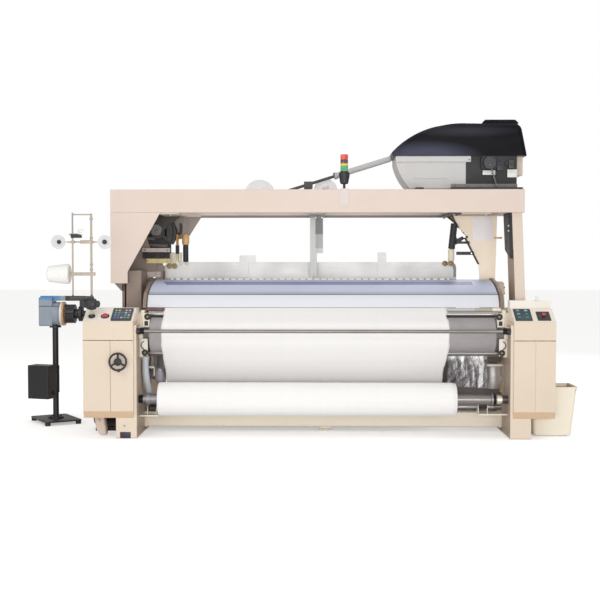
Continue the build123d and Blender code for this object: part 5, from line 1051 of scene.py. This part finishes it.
def buildLeftGear(p):
    dark, tan, sleeve, grey, brass, cream = Shape(), Shape(), Shape(), Shape(), Shape(), Shape()
    d = p["disc"]
    oval = [(d["x"] + d["half"][0] * cos(2 * pi * k / 28),
             d["z"] + d["half"][1] * sin(2 * pi * k / 28)) for k in range(28)]
    dark.plate(oval, "y", *d["y"], 0.0015)
    arc = [(-1.196, 1.643), (-1.176, 1.640), (-1.170, 1.610), (-1.172, 1.575), (-1.180, 1.547),
           (-1.204, 1.547), (-1.193, 1.575), (-1.190, 1.610)]
    dark.plate(arc, "y", 0.2405, 0.2513, 0.0015)
    h = p["hanger"]
    grey.slab(h["low"], h["high"], 0.002)
    c = p["column"]
    tan.turned((c["x"], c["y"], 1.458), upward,
               [(0, 0.022), (0.004, 0.028), (0.030, 0.030), (0.070, 0.030), (0.084, 0.026), (0.087, 0.014)],
               32)
    sleeve.turned((c["x"], c["y"], 1.318), upward,
                  [(0, 0.010), (0, 0.020), (0.004, 0.0225), (0.132, 0.0225), (0.141, 0.020)], 28)
    for z in (1.345, 1.37, 1.395, 1.42):  # folds of the rubber sleeve
        sleeve.turned((c["x"], c["y"], z), upward, [(0, 0.0215), (0.004, 0.0240), (0.008, 0.0215)], 28)
    for x0, z0, x1, z1 in p["ribs"]:
        grey.plate([(x0, z0), (x0, z0 - 0.022), (x1, z1 - 0.022), (x1, z1)], "y", p["wallY"] - 0.011,
                   p["wallY"] + 0.0003, 0.0015)
    grey.slab((-1.455, 0.240, 1.555), (-1.405, 0.2513, 1.582), 0.003)
    grey.plate([(-1.408, 1.548), (-1.372, 1.536), (-1.338, 1.540), (-1.318, 1.594), (-1.352, 1.628),
                (-1.412, 1.622)], "y", 0.1000, 0.1113, 0.003)
    grey.turned((-1.361, 0.1005, 1.566), toFront,
                [(0, 0.019), (0.004, 0.019), (0.006, 0.016), (0.010, 0.014), (0.010, 0)], 28)
    for x, z in ((-1.44, 1.675), (-1.30, 1.46), (-1.49, 1.49)):
        grey.bolt((x, p["wallY"] + 0.0003, z), toFront, 0.008)
    for x, z in ((-1.458, 1.4155), (-1.27, 1.4155), (-1.435, 1.326), (-1.268, 1.326)):
        grey.bolt((x, 0.0600, z) if z > 1.4 else (x, 0.0640, z), toFront, 0.006)
    for x, z in ((-1.44, 1.207), (-1.37, 1.221)):
        grey.bolt((x, 0.078, z), toFront, 0.006)
    dark.piece("leftGearPlates", "machineBlack", "black_paint")
    tan.piece("leftGearCollar", "amberPlastic", "brown_paint")
    sleeve.piece("leftGearSleeve", "blackRubber", "black_plastic")
    grey.piece("leftGearRibs", "gearGrey", "grey_paint")
    for x in (-1.264, -1.222):  # small pulleys on the front heald frame
        brass.turned((x, 0.1362, 1.284), toFront,
                     pulleyRim + [(0.013, 0.006), (0.016, 0.005), (0.016, 0)], 32)
    cream.plate([(-1.262, 1.270), (-1.222, 1.270), (-1.213, 1.330), (-1.213, 1.384), (-1.225, 1.398),
                 (-1.250, 1.398), (-1.262, 1.384)], "y", 0.1358, healdFront, 0.0015)
    cream.slab((-1.178, 0.1285, 1.285), (-1.160, healdFront, 1.396), 0.002)
    cream.slab((-1.136, 0.1300, 1.292), (-1.106, healdFront, 1.322), 0.003)
    brass.piece("leftPulleys", "brass", "bright_steel", "healds_a")
    cream.piece("leftClevis", "clevisCream", "cream_plate", "healds_a")


plasticFinish("amberPlastic", (0.62, 0.36, 0.12), rough=0.36, grain=0.08, shade=(0.72, 0.50, 0.26), gloss=0.2)
paintFinish("gearGrey", (0.24, 0.235, 0.225), (0.12, 0.115, 0.11), rough=0.42, grime=0.9,
            worn=(0.40, 0.38, 0.36))
paintFinish("clevisCream", (0.80, 0.75, 0.60), (0.66, 0.56, 0.24), rough=0.4)
buildLeftGear(leftGearPlan)


# lifting gear at the right end, in front of the first heald frame
rightGearPlan = {
    "boot": {"foot": (1.050, 0.059, 1.424), "head": (1.072, 0.059, 1.632), "radius": 0.0285},
    "bars": [(1.093, 1.200, 1.466, 1.486), (1.093, 1.236, 1.375, 1.402)],
    "edge": {"x": 1.067, "z": 1.693, "slope": 0.5147},
}


def buildRightGear(p):
    boot, rod, brass, grey, dark = Shape(), Shape(), Shape(), Shape(), Shape()
    b = p["boot"]
    foot, head, r = Vector(b["foot"]), Vector(b["head"]), b["radius"]
    along = head - foot
    high, profile = along.length, [(0, 0.012)]
    for k in range(9):
        profile += [(high * (k + 0.06) / 9, r * 0.93), (high * (k + 0.5) / 9, r),
                    (high * (k + 0.94) / 9, r * 0.93)]
    boot.turned(foot, along.normalized(), profile + [(high - 0.002, r * 0.75), (high, 0.010)], 32)
    boot.piece("rightBoot", "blackRubber", "black_plastic", "healds_a")
    rod.turned((1.048, 0.059, 1.327), upward,
               [(0, 0.014), (0, 0.023), (0.005, 0.026), (0.088, 0.026), (0.094, 0.022), (0.100, 0.012)], 32)
    rod.slab((1.030, 0.054, 1.290), (1.066, healdFront, 1.330), 0.003)
    rod.piece("rightRodFoot", "clevisCream", "cream_plate", "healds_a")
    for x in (1.006, 1.047):
        brass.turned((x, healdFront if x < 1.03 else 0.0543, 1.306), toFront,
                     pulleyRim + [(0.016, 0.005), (0.016, 0)], 32)
    brass.piece("rightPulleys", "brass", "bright_steel", "healds_a")
    grey.plate([(1.072, 1.309), (1.092, 1.300), (1.0985, 1.262), (1.0985, 1.196), (1.078, 1.196),
                (1.078, 1.250), (1.070, 1.285)], "y", 0.1330, healdFront, 0.0015)
    grey.piece("rightEndBracket", "gearGrey", "grey_paint", "healds_a")
    for x0, x1, z0, z1 in p["bars"]:
        dark.slab((x0, 0.0745, z0), (x1, archFront, z1), 0.003)
    e = p["edge"]

    def edge(z):  # slanting edge of the arch panel
        return e["x"] + (e["z"] - z) * e["slope"]

    dark.plate([(edge(1.560) - 0.004, 1.560), (edge(1.560) + 0.014, 1.560), (edge(1.300) + 0.012, 1.300),
                (edge(1.300) - 0.004, 1.300)], "y", 0.0820, archFront, 0.001)
    dark.slab((1.145, 0.0780, 1.512), (1.185, archFront, 1.530), 0.002)
    dark.piece("rightGearBars", "machineBlack", "black_paint")
    links = Shape()
    links.plate([(1.102, 1.568), (1.116, 1.580), (1.166, 1.528), (1.156, 1.514)], "y", 0.0720, 0.0785, 0.0012)
    links.bolt((1.160, 0.072, 1.523), toFront, 0.006)
    links.bolt((1.110, 0.072, 1.573), toFront, 0.005)
    links.bolt((1.215, 0.0745, 1.388), toFront, 0.006)
    links.piece("rightGearLinks", "brightSteel", "bright_steel")


buildRightGear(rightGearPlan)
print("lifting gear dressed")


# console dressing: collar of the red button, wheel hub, foot recess, belt guard, small post
consolePlan = {
    "collar": {"place": (-1.629, -0.736, 0.9132), "normal": (0, -0.5026, 0.8645), "inner": 0.0228,
               "outer": 0.032},
    "hub": {"place": (-1.5185, -0.836, 0.580), "radius": 0.029}, "knob": (-1.5095, -0.842, 0.5175),
    "recess": {"low": (-1.515, -0.7768, 0.004), "high": (-1.435, -0.7747, 0.050)},
    "guard": [(-1.738, 0.1565), (-1.668, 0.1565), (-1.650, 0.060), (-1.646, 0.004), (-1.690, 0.004),
              (-1.722, 0.050)],
    "post": (1.612, -0.600, 1.0267),
}


def buildConsoleParts(p):
    c, h, w = p["collar"], p["hub"], p["recess"]
    collar = Shape()
    collar.turned(c["place"], c["normal"],
                  [(0, c["inner"]), (0, c["outer"]), (0.003, c["outer"]), (0.004, c["outer"] - 0.002),
                   (0.004, c["inner"])], 40, closed=True)
    collar.piece("stopCollar", "blackPlastic", "black_plastic")
    hub = Shape()
    r = h["radius"]
    hub.turned(h["place"], toFront,
               [(0, r * 0.9), (0, r), (0.007, r), (0.011, r * 0.86), (0.013, r * 0.5), (0.010, r * 0.42),
                (0.010, 0)], 40)
    hub.turned(p["knob"], toFront,
               [(0, 0.006), (0.002, 0.011), (0.010, 0.0125), (0.020, 0.011), (0.024, 0.006), (0.024, 0)], 24)
    hub.piece("wheelHub", "blackPlastic", "black_plastic", "handwheel")
    foot = Shape()
    foot.slab(w["low"], w["high"], 0.0006)
    foot.socketScrew((-1.4825, -0.7748, 0.0962), toFront, 0.006)
    foot.piece("footRecess", "screenDark", "black_plastic")
    guard = Shape()
    guard.plate(p["guard"], "y", -0.640, -0.560, 0.006)
    guard.turned((-1.700, -0.640, 0.118), toFront,
                 [(0, 0.012), (0.010, 0.012), (0.012, 0.009), (0.024, 0.009), (0.024, 0)], 20)
    guard.piece("beltGuard", "paleBeige", "pale_paint")
    post = Shape()
    post.turned(p["post"], upward,
                [(0, 0.015), (0.003, 0.015), (0.004, 0.0085), (0.032, 0.0085), (0.036, 0.005), (0.036, 0)],
                24)
    post.piece("ledgePost", "ringPlastic", "pale_paint")


plasticFinish("screenDark", (0.030, 0.018, 0.040), rough=0.4)
buildConsoleParts(consolePlan)


# dobby: motor cap, sockets, name-free plates, drain rod and base strip on the front of the drive box
dobbyPlan = {
    "front": -0.0497,
    "cap": {"place": (1.336, -0.0837, 2.110), "radius": 0.051},
    "plates": [((1.2835, 2.0168), (1.3845, 2.0531)), ((1.4814, 1.9966), (1.5600, 2.0600))],
    "plateThick": 0.0013,
    "strip": ((1.030, 1.9165), (1.562, 1.945)),
    "rod": ((1.336, -0.092, 2.100), (1.3925, -0.070, 1.930)),
}


def buildDobbyParts(p):
    front, dark, pale, steel = p["front"], Shape(), Shape(), Shape()
    r = p["cap"]["radius"]
    dark.turned(p["cap"]["place"], toFront,
                [(0, r), (0.010, r), (0.015, r * 0.94), (0.015, r * 0.80), (0.011, r * 0.78),
                 (0.011, r * 0.62), (0.015, r * 0.60), (0.015, r * 0.42), (0.011, r * 0.40), (0.011, r * 0.2),
                 (0.014, r * 0.18), (0.014, 0)], 48)
    dark.slab((1.397, front - 0.018, 2.053), (1.445, front, 2.114), 0.003)
    dark.slab((1.4895, front - 0.022, 2.069), (1.530, front, 2.134), 0.004)
    dark.turned((1.510, front - 0.022, 2.102), toFront,
                [(0, 0.014), (0.010, 0.014), (0.012, 0.011), (0.006, 0.009), (0.006, 0)], 24)
    for (x0, z0), (x1, z1) in p["plates"]:
        pale.slab((x0, front - p["plateThick"], z0), (x1, front, z1), 0.0004)
    (x0, z0), (x1, z1) = p["strip"]
    steel.slab((x0, front - 0.0018, z0), (x1, front, z1), 0.0005)
    start, end = Vector(p["rod"][0]), Vector(p["rod"][1])
    steel.turned(start, (end - start).normalized(), [(0, 0.0055), ((end - start).length, 0.0055)], 16)
    steel.slab((end.x - 0.012, end.y - 0.008, end.z - 0.008), (end.x + 0.012, front, end.z + 0.008), 0.002)
    for x in (1.06, 1.16, 1.26, 1.46, 1.54):
        steel.bolt((x, front - 0.0018, 1.931), toFront, 0.006)
    for x, z in ((1.175, 2.14), (1.175, 1.98), (1.54, 2.15), (1.25, 2.00), (1.42, 1.98)):
        dark.socketScrew((x, front, z), toFront, 0.006)
    socket = Shape()
    socket.slab((1.4035, front - 0.0188, 2.061), (1.4385, front - 0.0178, 2.106), 0.0004)
    socket.piece("dobbySocket", "screenDark", "black_plastic")
    dark.piece("dobbyMotorCap", "capGrey", "black_paint")
    pale.piece("dobbyPlates", "ringPlastic", "cream_plate")
    steel.piece("dobbyStrip", "gearGrey", "bright_steel")


plasticFinish("capGrey", (0.060, 0.060, 0.066), rough=0.42)
buildDobbyParts(dobbyPlan)


# small things on the gantry
gantryPlan = {
    "strip": {"low": (-1.058, 0.3215, 1.6885), "high": (0.986, 0.3303, 1.7065)},
    "plate": {"low": (1.2265, 0.0888, 1.490), "high": (1.3907, archFront, 1.688)},
    "gusset": [(-1.352, 1.300), (-1.316, 1.297), (-1.300, 1.284), (-1.300, 1.162), (-1.372, 1.162),
               (-1.372, 1.240)],
    "guides": [(-0.5316, 0.128, 0.000), (0.0259, 0.098, 0.038)], "guideY": 0.392, "beamTop": 1.887,
}


def buildGantryParts(p):
    strip, plate, brown, guide, hub = Shape(), Shape(), Shape(), Shape(), Shape()
    strip.slab(p["strip"]["low"], p["strip"]["high"], 0.0015)
    strip.piece("beamTrim", "gearGrey", "grey_paint")
    plate.slab(p["plate"]["low"], p["plate"]["high"], 0.0005)
    for x in (1.236, 1.381):
        for z in (1.500, 1.678):
            plate.turned((x, 0.0889, z), toFront,
                         [(0, 0.004), (0.0015, 0.004), (0.0025, 0.0025), (0.0025, 0)], 16)
    plate.piece("blankPlate", "plateLilac", "pale_paint")
    brown.plate(p["gusset"], "y", 0.0810, archFront, 0.0012)
    brown.slab((-1.310, 0.0730, 1.162), (-1.294, 0.0815, 1.244), 0.002)
    brown.piece("gussetFoot", "footBrown", "brown_paint")
    lever = Shape()
    lever.slab((1.400, 0.0800, 1.508), (1.452, 0.0905, 1.521), 0.003)
    lever.turned((1.452, 0.0850, 1.5145), (1, 0, 0),
                 [(0, 0.006), (0.003, 0.009), (0.010, 0.009), (0.013, 0.006), (0.013, 0)], 20)
    lever.piece("smallLever", "amberPlastic", "brown_paint")
    for x, radius, lift in p["guides"]:  # round yarn guides standing on the rear beam
        low = radius * 0.999 if not lift else (radius ** 2 - lift ** 2) ** 0.5
        rise = p["beamTop"] - 0.0003
        turns = [-asin(lift / radius) + (pi + 2 * asin(lift / radius)) * k / 40 for k in range(41)]
        outline = [(x + radius * cos(t), rise + lift + radius * sin(t)) for t in turns]
        guide.plate(outline, "y", p["guideY"] - 0.006, p["guideY"] + 0.006, 0.004)
        hub.turned((x, p["guideY"] - 0.005, rise + lift * 0.9 + radius * 0.28), toFront,
                   [(0, 0.030), (0.006, 0.028), (0.014, 0.018), (0.024, 0.016), (0.026, 0.012), (0.026, 0)],
                   28)
        guide.slab((x - low, p["guideY"] - 0.014, rise), (x + low, p["guideY"] + 0.014, rise + 0.008), 0.002)
    guide.piece("yarnGuides", "guideClear", "pale_paint")
    hub.piece("yarnGuideHubs", "plateLilac", "grey_paint")
    screws = Shape()
    for x, y, z in ((1.4515, -0.2935, 1.601), (1.4490, -0.3022, 1.562)):
        screws.bolt((x, y, z), (0, -0.975, 0.22), 0.007)
    for x in (-1.42, -1.20, 1.03, 1.28):  # straps of the lever castings
        for y in (-0.27, 0.42):
            screws.bolt((x, y, 1.6932), (0, 0, -1), 0.010)
    for x in (-0.056, -0.006):
        screws.bolt((x, 0.0835, 1.68), toFront, 0.006)
    screws.piece("gantryBolts", "brightSteel", "bright_steel")


paintFinish("plateLilac", (0.90, 0.86, 0.86), (0.84, 0.80, 0.82), rough=0.4, grime=0.3)
# painted shade: the gusset and its post under the left arch cover are coloured brown for the shadow there,
# with the part in front of y 0.0805 darker still
paintFinish("footBrown", (0.30, 0.235, 0.20), (0.20, 0.15, 0.125), rough=0.5, grime=0.8, zones=(
    zone((0.12, 0.085, 0.075), y=(None, 0.0805)),))
plasticFinish("guideClear", (0.80, 0.80, 0.80), rough=0.25, grain=0.05, gloss=0.3)
buildGantryParts(gantryPlan)


# creel: clamps, knobs on the discs, blocks on the arms
creelPlan = {
    "y": -0.7408, "pole": -1.728,
    "knobs": [(-1.628, 1.468, 0.017), (-1.969, 1.468, 0.015)],
    "clamps": [(-1.880, -1.800, 1.498, 1.527), (-1.743, -1.713, 1.035, 1.062)],
    "blocks": [(-1.809, -1.727, 1.456, 1.482), (-1.900, -1.700, 1.217, 1.242)],
    "disc": (-1.806, 1.545, 0.027),
}


def buildCreelParts(p):
    dark, cream, pale = Shape(), Shape(), Shape()
    y = p["y"]
    for x, z, r in p["knobs"]:
        dark.turned((x, y + 0.004, z), toFront,
                    [(0, r * 0.6), (0.004, r), (0.014, r), (0.018, r * 0.8), (0.018, r * 0.3),
                     (0.026, r * 0.28), (0.026, 0)], 28)
    for x0, x1, z0, z1 in p["clamps"]:
        dark.slab((x0, y - 0.013, z0), (x1, y + 0.013, z1), 0.003)
    for x0, x1, z0, z1 in p["blocks"]:
        cream.slab((x0, y - 0.011, z0), (x1, y + 0.011, z1), 0.003)
    dark.turned((p["pole"] - 0.062, y, 1.005), (1, 0, 0),
                [(0, 0.020), (0.006, 0.028), (0.020, 0.030), (0.030, 0.040), (0.060, 0.046), (0.090, 0.040),
                 (0.100, 0.026), (0.118, 0.024), (0.122, 0.016)], 32)
    x, z, r = p["disc"]
    pale.turned((x, y - 0.008, z), toFront,
                [(0, r * 0.5), (0.002, r), (0.004, r), (0.006, r * 0.5), (0.012, r * 0.3), (0.012, 0)], 32)
    dark.slab((x - 0.004, y - 0.010, z - 0.030), (x + 0.004, y - 0.004, z), 0.001)
    dark.piece("creelClamps", "blackPlastic", "black_plastic")
    cream.piece("creelBlocks", "creelTan", "cream_plate")
    pale.piece("creelDisc", "ringPlastic", "pale_paint")


buildCreelParts(creelPlan)
print("consoles, dobby, gantry and creel dressed")
